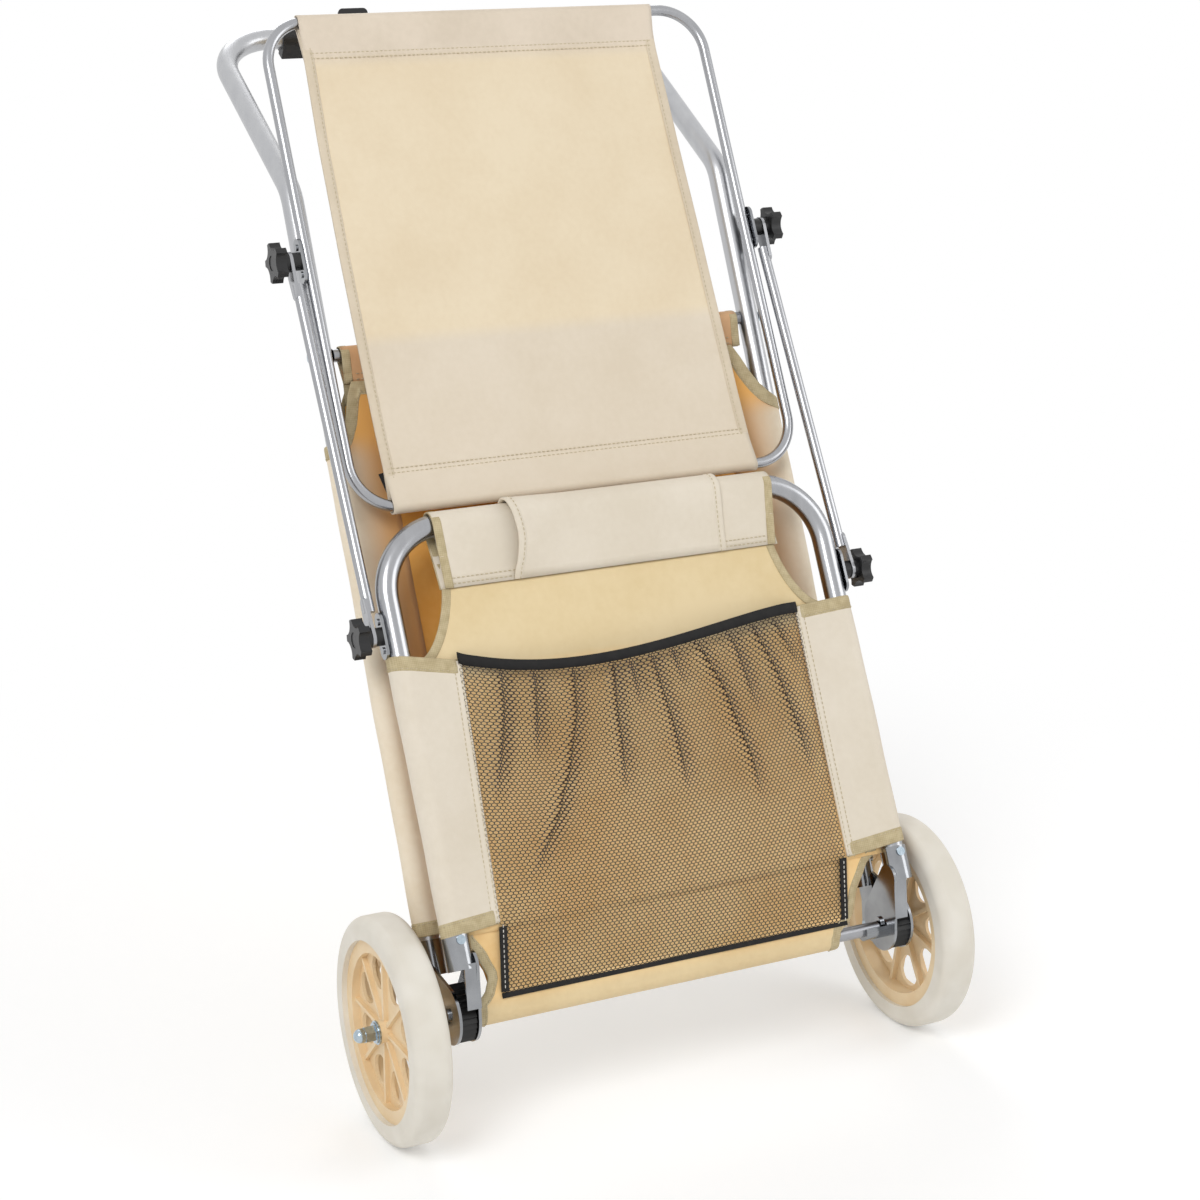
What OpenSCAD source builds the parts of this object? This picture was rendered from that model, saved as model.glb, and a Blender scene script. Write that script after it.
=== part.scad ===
// Folding beach cart that opens into a lounger, with a tilting sun canopy.
// Millimetres. X runs along the wheel axle, +Y points away from the load side, +Z is up.
// Both tube frames lean back from one hinge axis, so each frame is drawn in its own
// upright coordinates (Z along its side tubes, -Y towards the load side) and then leaned.

/* [Wheels] */
// Outer diameter of a tyre
wheel_d = 200; // [180:5:240]
// Width of a tyre
wheel_w = 34; // [28:1:42]
// Diameter on which the tyre sits on the hub
rim_d = 160; // [140:2:170]
// Number of spokes in a hub
spokes = 8; // [6:1:12]
// Thickness of one spoke
spoke_t = 3.5; // [3:0.5:7]
// Diameter of the axle bolts
axle_d = 8; // [6:1:10]

/* [Frames] */
// Distance between the axes of the side tubes
frame_w = 432; // [400:4:480]
// Outer diameter of the frame tubes
tube_d = 20; // [18:0.5:22]
// Wall of every tube
tube_wall = 1.2; // [1:0.1:1.6]
// Lean of the front (back rest) frame from upright, in degrees
back_lean = 28; // [24:0.5:30]
// Lean of the rear (seat and handle) frame from upright, in degrees
seat_lean = 25.7; // [22:0.1:27]
// Hinge axis to the top bar of the front frame
back_len = 414; // [380:2:440]
// Hinge axis to the cross tube of the rear frame
seat_len = 586; // [540:2:620]
// Hinge axis to the bend where the handle kinks back
kink_at = 739; // [700:1:780]
// Angle of that bend
kink_angle = 36; // [25:1:45]
// Length of the handle from the bend to its bar
handle_len = 245; // [200:5:280]
// Bend radius of the frame tubes
bend_r = 60; // [50:1:70]
// Outer diameter of the two cross tubes
cross_d = 12; // [10:0.5:14]

/* [Hinges] */
// Hinge axis to the front side tubes, square to them
back_off = 32; // [28:1:36]
// Hinge axis to the rear side tubes, square to them
seat_off = 37; // [36:1:42]
// Radius of the round hinge plates
plate_r = 26; // [24:1:28]
// Thickness of the hinge plates
plate_t = 2.6; // [2:0.2:3.2]
// Number of teeth on a ratchet disc
teeth = 30; // [20:2:40]
// Depth of a ratchet tooth
tooth_h = 2.2; // [1.4:0.2:3]
// Diameter of the hinge rivets
rivet_d = 8; // [6:0.5:9]

/* [Canopy] */
// Outer diameter of the canopy tube and of the struts
thin_d = 10; // [8:0.5:12]
// Distance between the axes of the canopy side tubes
canopy_w = 440; // [410:2:460]
// Distance between the top and bottom bars of the canopy
canopy_h = 453; // [400:1:480]
// Bend radius of the canopy tube
canopy_r = 42; // [34:1:50]
// Hinge axis to the lower clamps, along the front frame
clamp_at = 324; // [316:1:334]
// Distance between lower and upper clamps
strut_len = 345; // [325:1:360]
// Canopy plane in front of the hinge axis
canopy_fwd = 11; // [10:0.5:14]
// Width of the canopy fabric
shade_w = 362; // [330:2:366]

/* [Knobs] */
// Across the lobes of a star knob
knob_d = 36; // [32:1:40]
// Number of lobes
lobes = 5; // [5:1:7]
// Thickness of the lobed head
knob_t = 10; // [8:1:13]
// Diameter of the clamp bolts
clamp_d = 8; // [6:1:9]

/* [Fabric] */
// Thickness of the sewn fabric
cloth_t = 1.8; // [1.2:0.2:2.4]
// Half width of the bottom roll of fabric
roll_half = 180; // [170:1:184]
// Half width of the top roll of the front panel
top_half = 166; // [150:2:170]
// Half width of the top roll of the rear panel
rear_half = 198; // [180:2:200]
// Depth of the mesh pocket
pocket_gap = 16; // [12:1:20]
// Height of the mesh pocket
pocket_h = 286; // [240:2:290]

/* [Hidden] */
$fn = 48;

run = 0.05;         // radial clearance of a turning fit
seat = 0.05;        // radial clearance of a fixed fit
soft = 0.3;         // clearance of fabric around a tube
front_sleeve = [65, clamp_at - 21]; // front side sleeves: they end below the lower brackets
rear_sleeve = [70, 501];            // the same for the rear ones
half_w = frame_w / 2;
wheel_r = wheel_d / 2;
rim_r = rim_d / 2;
tube_r = tube_d / 2;
thin_r = thin_d / 2;
cross_r = cross_d / 2;

// The hinge axis, seen from the axle: the rear tubes pass seat_axle ahead of the axle.
seat_axle = 12;
hinge_rise = 4;
pivot_y = hinge_rise * sin(seat_lean) - (seat_axle + seat_off) * cos(seat_lean);
pivot_z = hinge_rise * cos(seat_lean) + (seat_axle + seat_off) * sin(seat_lean);

// The origin is below the middle of the whole part: from the tyre fronts to the handle bar.
bar_up = kink_at + handle_len * cos(kink_angle);
bar_back = seat_off + handle_len * sin(kink_angle);
bar_y = pivot_y + bar_up * sin(seat_lean) + bar_back * cos(seat_lean);
shift_y = (wheel_r - bar_y - tube_r) / 2;

module from_axle() { translate([0, shift_y, wheel_r]) children(); }
module from_hinge(lean) {
    from_axle() translate([0, pivot_y, pivot_z]) rotate([-lean, 0, 0]) children();
}
module on_back() { from_hinge(back_lean) children(); }
module on_seat() { from_hinge(seat_lean) children(); }
module left() { mirror([1, 0, 0]) children(); }
module both() { children(); mirror([1, 0, 0]) children(); }

// ---- shared shapes -------------------------------------------------------------

// A cylinder along +X from x0 to x1.
module rod(x0, x1, r) { translate([x0, 0, 0]) rotate([0, 90, 0]) cylinder(r = r, h = x1 - x0); }

// Flat outline drawn in (Y, Z) and extruded along X from x0 to x1.
module plate(x0, x1) {
    translate([x0, 0, 0]) rotate([90, 0, 90]) linear_extrude(x1 - x0) children();
}

// Outline of a bar with round ends of different radii.
module link(a, ra, b, rb) {
    translate(a) circle(r = ra);
    translate(b) circle(r = rb);
    web(a, ra, b, rb);
}
// The straight-sided middle of such a bar; a hair narrower, so its sides cross the ends.
module web(a, ra, b, rb) {
    hair = 0.06;
    d = norm(b - a);
    turn = atan2(b[1] - a[1], b[0] - a[0]);
    lay = acos((ra - rb) / d);
    polygon([
        a + (ra - hair) * [cos(turn + lay), sin(turn + lay)],
        a + (ra - hair) * [cos(turn - lay), sin(turn - lay)],
        b + (rb - hair) * [cos(turn - lay), sin(turn - lay)],
        b + (rb - hair) * [cos(turn + lay), sin(turn + lay)],
    ]);
}

// A bent solid rod in the XZ plane: two legs from z0 up, two round corners and a bar at z1.
module u_rod(half, z0, z1, corner, r) {
    both() {
        translate([half, 0, z0]) cylinder(r = r, h = z1 - corner - z0);
        translate([half - corner, 0, z1 - corner]) rotate([90, 0, 0])
            rotate_extrude(angle = 90) translate([corner, 0]) circle(r = r);
    }
    translate([0, 0, z1]) rod(corner - half, half - corner, r);
}

// Clearance holes and pan-head screws along local +Z; the head sits on z = 0.
module screw(d, len) {
    cylinder(d = d, h = 2);
    translate([0, 0, -len]) cylinder(d = d / 2, h = len);
}

// ---- wheels ---------------------------------------------------------------------

wheel_in = half_w + 25;              // inner face of a wheel
wheel_out = wheel_in + wheel_w;      // outer face of a wheel
rim_in = wheel_in + 4;
rim_out = wheel_out - 5;
rim_t = 12;                          // width of the flat ring on each side of the rim
dish = 7;                            // from the ring down to the web, on the outer side
web_t = 3;
boss_out = wheel_out - 3;            // recessed outer end of the hub boss
boss_r = 10;
right_turn = 11.5;                   // the right wheel stands turned by this angle

module tyre() {
    round_r = 9;
    color("ivory") rotate([0, 90, 0]) difference() {
        rotate_extrude($fn = 120) {
            translate([wheel_r - round_r, wheel_in]) square([round_r - 0.01, wheel_w]);
            translate([rim_r, wheel_in]) square([wheel_r - rim_r - round_r, wheel_w]);
        }
        // the shoulders are turned down to a round tread
        for (end = [wheel_in, wheel_out]) translate([0, 0, end]) shoulder(end == wheel_in ? 1 : -1, round_r);
    }
}
module shoulder(dir, r) {
    rotate_extrude($fn = 120) difference() {
        translate([wheel_r - r, dir > 0 ? -1 : -r]) square([r + 1, r + 1]);
        translate([wheel_r - r, dir * r]) circle(r = r);
    }
}

module hub() {
    pitch = 360 / spokes;
    rim_hole = rim_r - rim_t;
    web_in = rim_out - dish - web_t;
    // the ribs stay below the rings, more so on the inner side
    rib_in = rim_in + 10;
    rib_out = rim_out - 3;
    lap = 1;
    // round windows that narrow towards the boss
    window_at = rim_hole * 0.75;
    window_r = window_at * sin(pitch / 2) - spoke_t / 2 - 4;
    tip_at = rim_hole * 0.66;
    tip_r = window_r * 0.7;
    color("navajowhite") difference() {
        union() {
            rotate([0, 90, 0]) rotate_extrude($fn = 96) {
                translate([rim_hole, rim_in]) square([rim_t - seat, rim_out - rim_in]);
                translate([boss_r - lap, web_in]) square([rim_hole - boss_r + 2 * lap, web_t]);
                translate([0, wheel_in]) square([boss_r, boss_out - wheel_in]);
            }
            for (i = [0:spokes - 1]) rotate([i * pitch, 0, 0])
                translate([rib_in, -spoke_t / 2, boss_r - lap])
                    cube([rib_out - rib_in, spoke_t, rim_hole - boss_r + 2 * lap]);
        }
        rod(wheel_in - 1, wheel_out, axle_d / 2 + run);
        for (i = [0:spokes - 1]) rotate([(i + 0.5) * pitch, 0, 0])
            plate(web_in - lap, web_in + web_t + lap)
                link([0, tip_at], tip_r, [0, window_at], window_r);
    }
}

module at_axle() { from_axle() children(); }
module tyre_right() { at_axle() tyre(); }
module tyre_left() { at_axle() left() tyre(); }
module hub_right() { at_axle() rotate([right_turn, 0, 0]) hub(); }
module hub_left() { at_axle() left() hub(); }

// ---- axle bolts -----------------------------------------------------------------

outer_plate = half_w + 5.5;          // inner face of the rear hinge plate
washer_t = 1.6;
nut_x = boss_out + 0.3 + 2 * washer_t;
nut_af = 13;
bolt_end = nut_x + 11;

module hex(af, h) { cylinder(d = af / cos(30), h = h, $fn = 6); }

module axle_bolt() {
    color("silver") {
        rod(outer_plate, bolt_end, axle_d / 2);
        translate([outer_plate - 5, 0, 0]) rotate([0, 90, 0]) hex(nut_af, 5);
    }
}
module axle_spacer() {
    color("dimgray") difference() {
        rod(outer_plate + plate_t, wheel_in - 0.4, 7);
        rod(outer_plate, wheel_in, axle_d / 2 + seat);
    }
}
module axle_washers() {
    color("silver") for (i = [0, 1]) difference() {
        rod(boss_out + 0.3 + i * washer_t, boss_out + 0.3 + (i + 1) * washer_t - 0.05, 10.5 - 1.5 * i);
        rod(boss_out, nut_x + 1, axle_d / 2 + seat);
    }
}
module acorn_nut() {
    dome_r = 6.2;
    hex_h = 9;
    tip = nut_x + 18.5;
    color("gainsboro") difference() {
        union() {
            translate([nut_x, 0, 0]) rotate([0, 90, 0]) hex(nut_af, hex_h);
            rod(nut_x + hex_h, tip - dome_r, dome_r);
            translate([tip - dome_r, 0, 0]) sphere(r = dome_r);
        }
        rod(nut_x - 1, bolt_end + 1, axle_d / 2 + seat);
    }
}
module axle_bolt_right() { at_axle() axle_bolt(); }
module axle_bolt_left() { at_axle() left() axle_bolt(); }
module axle_spacer_right() { at_axle() axle_spacer(); }
module axle_spacer_left() { at_axle() left() axle_spacer(); }
module axle_washers_right() { at_axle() axle_washers(); }
module axle_washers_left() { at_axle() left() axle_washers(); }
module acorn_nut_right() { at_axle() acorn_nut(); }
module acorn_nut_left() { at_axle() left() acorn_nut(); }

// ---- ratchet hinges ---------------------------------------------------------------

inner_plate = half_w - 12;           // inner face of the front hinge plate
socket_r = tube_r + 2;
socket_z = 34;                       // lower end of both tube sockets, from the hinge axis
socket_h = front_sleeve[0] - soft - socket_z;
tube_z = socket_z + 2;               // lower end of the side tubes inside the sockets
cross_drop = 4;                      // the bottom cross tube lies below the rivet
cross_end = inner_plate - 4;
trough_x = roll_half + 4;
axle_at = [seat_axle + seat_off, -hinge_rise];   // the axle seen from the hinge axis
disc_in = inner_plate + plate_t + 1;

// Screw places on the sockets: on the side that faces the load and on the outside.
module back_screw_place() { translate([half_w, -back_off - socket_r, socket_z + 25]) rotate([90, 0, 0]) children(); }
module seat_screw_place() { translate([half_w + socket_r, seat_off, socket_z + 25]) rotate([0, 90, 0]) children(); }

module socket(y) { translate([half_w, y, socket_z]) cylinder(r = socket_r, h = socket_h); }
module socket_bore(y) { translate([half_w, y, tube_z]) cylinder(r = tube_r + seat, h = socket_h); }
module front_hinge() {
    strip_x = half_w + 1;
    strip_in = plate_r + 1.6;
    color("lightsteelblue") difference() {
        union() {
            socket(-back_off);
            plate(inner_plate, inner_plate + plate_t)
                link([0, 0], plate_r, [-back_off, socket_z + 4], socket_r);
            // front web from the socket down to the level of the rivet
            plate(inner_plate, strip_x) polygon([
                [-back_off - socket_r, socket_z + 4], [-back_off - socket_r + 2.4, socket_z + 4],
                [-strip_in, 0], [-strip_in - 2.4, 0],
            ]);
            // trough that carries the end of the bottom cross tube
            translate([0, 0, -cross_drop]) difference() {
                rod(trough_x, inner_plate + 0.5, cross_r + 3.6);
                rod(trough_x - 1, inner_plate, cross_r + seat);
                // open half, towards the top
                translate([trough_x - 1, -tube_d, 0]) cube([inner_plate - trough_x + 1, 2 * tube_d, tube_d]);
            }
        }
        socket_bore(-back_off);
        rod(inner_plate - 5, inner_plate + plate_t + 1, rivet_d / 2 + run);
        back_screw_place() translate([0, 0, -6]) cylinder(d = 4.2, h = 10);
    }
}
module rear_hinge() {
    lobe_r = 14;
    tube_at = [seat_off, socket_z + 4];
    color("slategray") difference() {
        union() {
            socket(seat_off);
            plate(outer_plate, outer_plate + plate_t) {
                link([0, 0], plate_r, axle_at, lobe_r);
                web(axle_at, lobe_r, tube_at, socket_r);
                link([0, 0], plate_r, tube_at, socket_r);
            }
            // half-round neck that joins the socket to the plate
            translate([half_w, seat_off, socket_z - 12]) intersection() {
                cylinder(r = socket_r, h = 14);
                translate([2, -socket_r, 0]) cube([socket_r, 2 * socket_r, 14]);
            }
        }
        socket_bore(seat_off);
        rod(outer_plate - 1, outer_plate + plate_t + 1, rivet_d / 2 + seat);
        translate([0, axle_at[0], axle_at[1]]) rod(outer_plate - 1, outer_plate + plate_t + 1, axle_d / 2 + seat);
        seat_screw_place() translate([0, 0, -6]) cylinder(d = 4.2, h = 10);
    }
}
// Black disc with saw teeth; it stands on the rear plate, behind the web of the front plate.
module ratchet_disc() {
    tip = plate_r - 1;
    pitch = 360 / teeth;
    color("black") difference() {
        plate(disc_in, outer_plate) polygon([
            for (i = [0:teeth - 1]) each [
                tip * [cos(i * pitch), sin(i * pitch)],
                (tip - tooth_h) * [cos((i + 0.25) * pitch), sin((i + 0.25) * pitch)],
            ]
        ]);
        rod(disc_in - 1, outer_plate + 1, rivet_d / 2 + seat);
    }
}
module hinge_rivet() {
    head_t = 2;
    x0 = inner_plate - 0.1 - head_t;
    x1 = outer_plate + plate_t;
    color("silver") difference() {
        union() {
            rod(x0, x1, rivet_d / 2);
            rod(x0, x0 + head_t, rivet_d / 2 + 1.8);
            rod(x1, x1 + head_t, rivet_d / 2 + 1.8);
        }
        rod(x0 - 1, x1 + head_t + 1, rivet_d / 2 - 1.8);
    }
}
module front_hinge_right() { on_back() front_hinge(); }
module front_hinge_left() { on_back() left() front_hinge(); }
module rear_hinge_right() { on_seat() rear_hinge(); }
module rear_hinge_left() { on_seat() left() rear_hinge(); }
module ratchet_disc_right() { on_seat() ratchet_disc(); }
module ratchet_disc_left() { on_seat() left() ratchet_disc(); }
module hinge_rivet_right() { on_seat() hinge_rivet(); }
module hinge_rivet_left() { on_seat() left() hinge_rivet(); }
module front_hinge_screws() { color("silver") on_back() both() back_screw_place() screw(8, 5); }
module rear_hinge_screws() { color("silver") on_seat() both() seat_screw_place() screw(8, 5); }

// ---- rear frame -------------------------------------------------------------------

kink_r = 40;
kink_cut = kink_r * tan(kink_angle / 2);

module handle_rod(r) {
    translate([0, seat_off, 0]) {
        both() {
            translate([half_w, 0, tube_z]) cylinder(r = r, h = kink_at - kink_cut - tube_z);
            translate([half_w, kink_r, kink_at - kink_cut]) rotate([90, 0, -90])
                rotate_extrude(angle = kink_angle) translate([kink_r, 0]) circle(r = r);
        }
        translate([0, 0, kink_at]) rotate([-kink_angle, 0, 0])
            u_rod(half_w, kink_cut, handle_len, bend_r, r);
    }
}
module cross_screw_place() { translate([half_w + tube_r, seat_off, seat_len]) rotate([0, 90, 0]) children(); }
module handle_tube() {
    color("silver") on_seat() difference() {
        handle_rod(tube_r);
        handle_rod(tube_r - tube_wall);
        both() {
            cross_screw_place() translate([0, 0, -tube_d - 5]) cylinder(d = 4.7, h = tube_d + 10);
            seat_screw_place() translate([0, 0, -8]) cylinder(d = 4.2, h = 10);
        }
    }
}
module rear_cross_tube() {
    end = half_w - tube_r - 0.3;
    color("silver") on_seat() translate([0, seat_off, seat_len]) difference() {
        rod(-end, end, cross_r);
        rod(-end - 1, end + 1, cross_r - tube_wall);
    }
}
module cross_tube_screws() {
    color("silver") on_seat() both() cross_screw_place() screw(9, tube_d + 12);
}
// Two plastic feet on the bar, on which the foot end rests when the cart is a lounger.
foot_w = 30;
foot_x = 133;
foot_t = 2.5;                        // wall of a foot
module handle_feet() {
    color("black") on_seat() translate([0, seat_off, 0]) translate([0, 0, kink_at])
        rotate([-kink_angle, 0, 0]) translate([0, 0, handle_len]) both() difference() {
            union() {
                rod(foot_x - foot_w / 2, foot_x + foot_w / 2, tube_r + foot_t);
                // flat sole
                translate([foot_x - foot_w / 2, 0, -tube_r - foot_t])
                    cube([foot_w, tube_r + 2 * foot_t, tube_r]);
            }
            rod(foot_x - foot_w, foot_x + foot_w, tube_r + seat);
            translate([foot_x - foot_w, -tube_d, tube_r / 2]) cube([2 * foot_w, 2 * tube_d, tube_d]);
        }
}

// ---- front frame ------------------------------------------------------------------

module back_rod(r) { translate([0, -back_off, 0]) u_rod(half_w, tube_z, back_len, bend_r, r); }
// Place of the two rivets of each clamp bracket, along its length.
rivet_span = 25;
module lower_rivet_places() {
    for (z = [-1, 1]) translate([half_w + tube_r, -back_off, clamp_at + z * rivet_span / 2])
        rotate([0, 90, 0]) children();
}
module back_tube() {
    color("silver") on_back() difference() {
        back_rod(tube_r);
        back_rod(tube_r - tube_wall);
        both() {
            back_screw_place() translate([0, 0, -8]) cylinder(d = 4.2, h = 10);
            lower_rivet_places() translate([0, 0, -5]) cylinder(d = 3.2, h = 8);
        }
    }
}
module bottom_cross_tube() {
    color("darkgray") on_back() translate([0, 0, -cross_drop]) difference() {
        rod(-cross_end, cross_end, cross_r);
        rod(-cross_end - 1, cross_end + 1, cross_r - tube_wall);
    }
}

// ---- canopy clamps: bracket, rivets, bolt, spacer, strut eye, star knob ------------

bracket_t = 2.5;
bracket_r = 8;
lower_face = half_w + tube_r + 0.2;              // inner face of the lower brackets
upper_face = canopy_w / 2 + thin_r + 0.2;        // inner face of the upper brackets
strut_face = half_w + 19.5;                      // inner face of the flattened strut ends
strut_t = 3;
knob_face = strut_face + strut_t + 0.5;
knob_hub = 4;
strut_turn = asin((back_off - canopy_fwd) / strut_len);
upper_at = clamp_at + strut_len * cos(strut_turn);

module lower_clamp() { translate([0, -back_off, clamp_at]) children(); }
module upper_clamp() { translate([0, -canopy_fwd, upper_at]) children(); }

module bracket(face) {
    color("silver") difference() {
        plate(face, face + bracket_t)
            link([0, -rivet_span / 2], bracket_r, [0, rivet_span / 2], bracket_r);
        rod(face - 1, face + bracket_t + 1, clamp_d / 2 + seat);
        for (z = [-1, 1]) translate([0, 0, z * rivet_span / 2]) rod(face - 1, face + bracket_t + 1, 1.6);
    }
}
module bracket_rivets(face) {
    color("gainsboro") for (z = [-1, 1]) translate([0, 0, z * rivet_span / 2]) {
        rod(face - 2, face + bracket_t, 1.55);
        rod(face + bracket_t, face + bracket_t + 1.2, 3);
    }
}
module clamp_bolt(face) {
    color("silver") rod(face, knob_face + knob_hub + knob_t - 4, clamp_d / 2);
}
module clamp_spacer(face) {
    color("black") difference() {
        rod(face + bracket_t, strut_face - 0.3, 8);
        rod(face, strut_face + 1, clamp_d / 2 + seat);
    }
}
module star_knob() {
    head = knob_face + knob_hub;
    valley_r = knob_d * 0.34;            // radius at the bottom of the hollows
    hollow_r = knob_d * 1.5 / lobes;
    dish_r = knob_d * 0.19;
    dish_t = 0.6;
    floor_t = 3;
    color("black") difference() {
        union() {
            rod(knob_face, head + 1, knob_d / 4);
            plate(head, head + knob_t) difference() {
                circle(d = knob_d);
                for (i = [0:lobes - 1]) rotate(90 + (i + 0.5) * 360 / lobes)
                    translate([valley_r + hollow_r, 0]) circle(r = hollow_r);
            }
        }
        rod(knob_face - 1, head + knob_t - floor_t, clamp_d / 2 + run);
        rod(head + knob_t - dish_t, head + knob_t + 1, dish_r);
    }
}
// A strut: thin tube whose ends are pressed flat, nearly flush with its outer side.
module strut() {
    eye_r = 9;
    flat = 30;                           // length of the pressed end
    overlap = 8;                         // length over which tube and flat run together
    proud = 0.5;                         // of the tube over the outer face of the flat
    tube_x = strut_face + strut_t + proud - thin_r;
    color("silver") on_back() lower_clamp() rotate([-strut_turn, 0, 0]) difference() {
        union() {
            translate([tube_x, 0, flat - overlap])
                cylinder(r = thin_r, h = strut_len - 2 * (flat - overlap));
            plate(strut_face, strut_face + strut_t) {
                link([0, 0], eye_r, [0, flat], thin_r + 1);
                link([0, strut_len], eye_r, [0, strut_len - flat], thin_r + 1);
            }
        }
        for (z = [0, strut_len]) translate([0, 0, z])
            rod(strut_face - 1, strut_face + strut_t + 1, clamp_d / 2 + run);
        translate([tube_x, 0, flat + overlap / 2])
            cylinder(r = thin_r - tube_wall, h = strut_len - 2 * flat - overlap);
    }
}
module on_lower() { on_back() lower_clamp() children(); }
module on_upper() { on_back() upper_clamp() children(); }
module lower_bracket_right() { on_lower() bracket(lower_face); }
module lower_bracket_left() { on_lower() left() bracket(lower_face); }
module lower_rivets() { on_lower() both() bracket_rivets(lower_face); }
module lower_bolts() { on_lower() both() clamp_bolt(lower_face); }
module lower_spacers() { on_lower() both() clamp_spacer(lower_face); }
module upper_bracket_right() { on_upper() bracket(upper_face); }
module upper_bracket_left() { on_upper() left() bracket(upper_face); }
module upper_rivets() { on_upper() both() bracket_rivets(upper_face); }
module upper_bolts() { on_upper() both() clamp_bolt(upper_face); }
module upper_spacers() { on_upper() both() clamp_spacer(upper_face); }
module strut_right() { strut(); }
module strut_left() { left() strut(); }
module knob_lower_right() { on_lower() star_knob(); }
module knob_lower_left() { on_lower() left() star_knob(); }
module knob_upper_right() { on_upper() star_knob(); }
module knob_upper_left() { on_upper() left() star_knob(); }

// ---- canopy -----------------------------------------------------------------------

canopy_drop = 3;                     // middle of the canopy below its clamps
module canopy_rod(r) {
    translate([0, 0, -canopy_drop]) {
        u_rod(canopy_w / 2, 0, canopy_h / 2, canopy_r, r);
        mirror([0, 0, 1]) u_rod(canopy_w / 2, 0, canopy_h / 2, canopy_r, r);
    }
}
module canopy_tube() {
    color("silver") on_upper() difference() {
        canopy_rod(thin_r);
        canopy_rod(thin_r - tube_wall);
        both() for (z = [-1, 1]) translate([0, 0, z * rivet_span / 2]) rod(canopy_w / 2 + 2, canopy_w / 2 + 8, 1.6);
    }
}
module canopy_fabric() {
    hem_r = thin_r + soft + cloth_t;
    hem_h = 40;
    color("wheat") on_upper() translate([0, 0, -canopy_drop]) difference() {
        for (end = [-1, 1]) translate([0, 0, end * canopy_h / 2]) {
            rod(-shade_w / 2, shade_w / 2, hem_r);
            // the two layers of the hem close up towards its seam
            plate(-shade_w / 2, shade_w / 2) polygon([
                [-hem_r, 0], [hem_r, 0], [cloth_t / 2, -end * hem_h], [-cloth_t / 2, -end * hem_h],
            ]);
            translate([-shade_w / 2, -cloth_t / 2, end > 0 ? -canopy_h / 2 : 0])
                cube([shade_w, cloth_t, canopy_h / 2]);
        }
        for (end = [-1, 1]) translate([0, 0, end * canopy_h / 2])
            rod(-shade_w, shade_w, thin_r + soft);
    }
}
// Plastic clip on the top bar of the canopy, behind its hem.
module canopy_clip() {
    clip_x = -127;
    clip_w = 28;
    clip_r = 4;                          // rounding of its upper corners
    clip_t = 6;
    tail = 8;                            // below the axis of the bar
    rise = 15.5;                         // above the axis of the bar
    back = thin_r + soft + cloth_t + 0.6;
    color("black") on_upper() translate([clip_x, back, canopy_h / 2 - canopy_drop]) difference() {
        translate([0, clip_t, 0]) rotate([90, 0, 0]) linear_extrude(clip_t) {
            for (x = [-1, 1]) translate([x * (clip_w / 2 - clip_r), rise - clip_r]) circle(r = clip_r);
            translate([-clip_w / 2, -tail]) square([clip_w, tail + rise - clip_r]);
            translate([clip_r - clip_w / 2, 0]) square([clip_w - 2 * clip_r, rise]);
        }
        // thinner lip that points up
        translate([-clip_w, clip_t / 2, thin_r + 4]) cube([2 * clip_w, clip_t, rise]);
    }
}

// ---- fabric panels ----------------------------------------------------------------

sleeve_r = tube_r + soft + cloth_t;
sleeve_mid = half_w - sleeve_r + cloth_t / 2;   // the panels end inside the wall of the sleeves
beside_socket = half_w - socket_r - soft;       // and clear of the sockets below them
side_seam = 170;
roll_r = cross_r + soft + cloth_t;
top_hem = 47;                        // depth of the hem below the top bar
bend_z = 62;                         // where the panels leave the side tubes
slope_end = 17;                      // the rear panel stops this far from the hinge axis

// Curved edge, as points, from (x0, z0) to (x1, z1), hollow towards the tube side.
function scoop(x0, z0, x1, z1) = [
    for (i = [0:12]) [x0 + (x1 - x0) * (1 - cos(i * 7.5)), z0 + (z1 - z0) * sin(i * 7.5)]
];
function reversed(points) = [for (i = [len(points) - 1:-1:0]) points[i]];
// The right half of an outline, closed by its mirror image.
module mirrored_outline(points) {
    last = len(points) - 1;
    polygon(concat(points, [for (i = [0:last]) [-points[last - i][0], points[last - i][1]]]));
}
// Outline drawn in (X, Z) and extruded across the whole depth of the cart.
module through_y() {
    deep = 2 * (back_off + seat_off);
    translate([0, deep / 2, 0]) rotate([90, 0, 0]) linear_extrude(deep) children();
}

module side_sleeves(y, span) {
    both() translate([half_w, y, span[0]]) cylinder(r = sleeve_r, h = span[1] - span[0]);
}

slope_foot = 0.2 - roll_r;           // where the front panel meets the roll below it
front_outline = concat(
    [[roll_half - 0.5, -30]],
    reversed(scoop(beside_socket, front_sleeve[0], roll_half - 0.5, 6)),
    [[sleeve_mid, front_sleeve[0] + 1]],
    reversed(scoop(top_half - 0.5, back_len - top_hem - 2, sleeve_mid, front_sleeve[1] - 1)),
    [[top_half - 0.5, back_len]]
);
module front_panel() {
    color("wheat") on_back() difference() {
        union() {
            intersection() {
                plate(-half_w, half_w) polygon([
                    [-back_off - cloth_t / 2, back_len], [-back_off - cloth_t / 2, bend_z],
                    [slope_foot, -cross_drop], [-roll_r + cloth_t, -cross_drop],
                    [-back_off + cloth_t / 2, bend_z], [-back_off + cloth_t / 2, back_len],
                ]);
                through_y() mirrored_outline(front_outline);
            }
            side_sleeves(-back_off, front_sleeve);
            translate([0, -back_off, back_len]) top_roll(sleeve_r, top_half);
            translate([0, 0, -cross_drop]) rod(-roll_half, roll_half, roll_r);
        }
        back_rod(tube_r + soft);
        translate([0, 0, -cross_drop]) rod(-half_w, half_w, cross_r + soft);
    }
}
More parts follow.
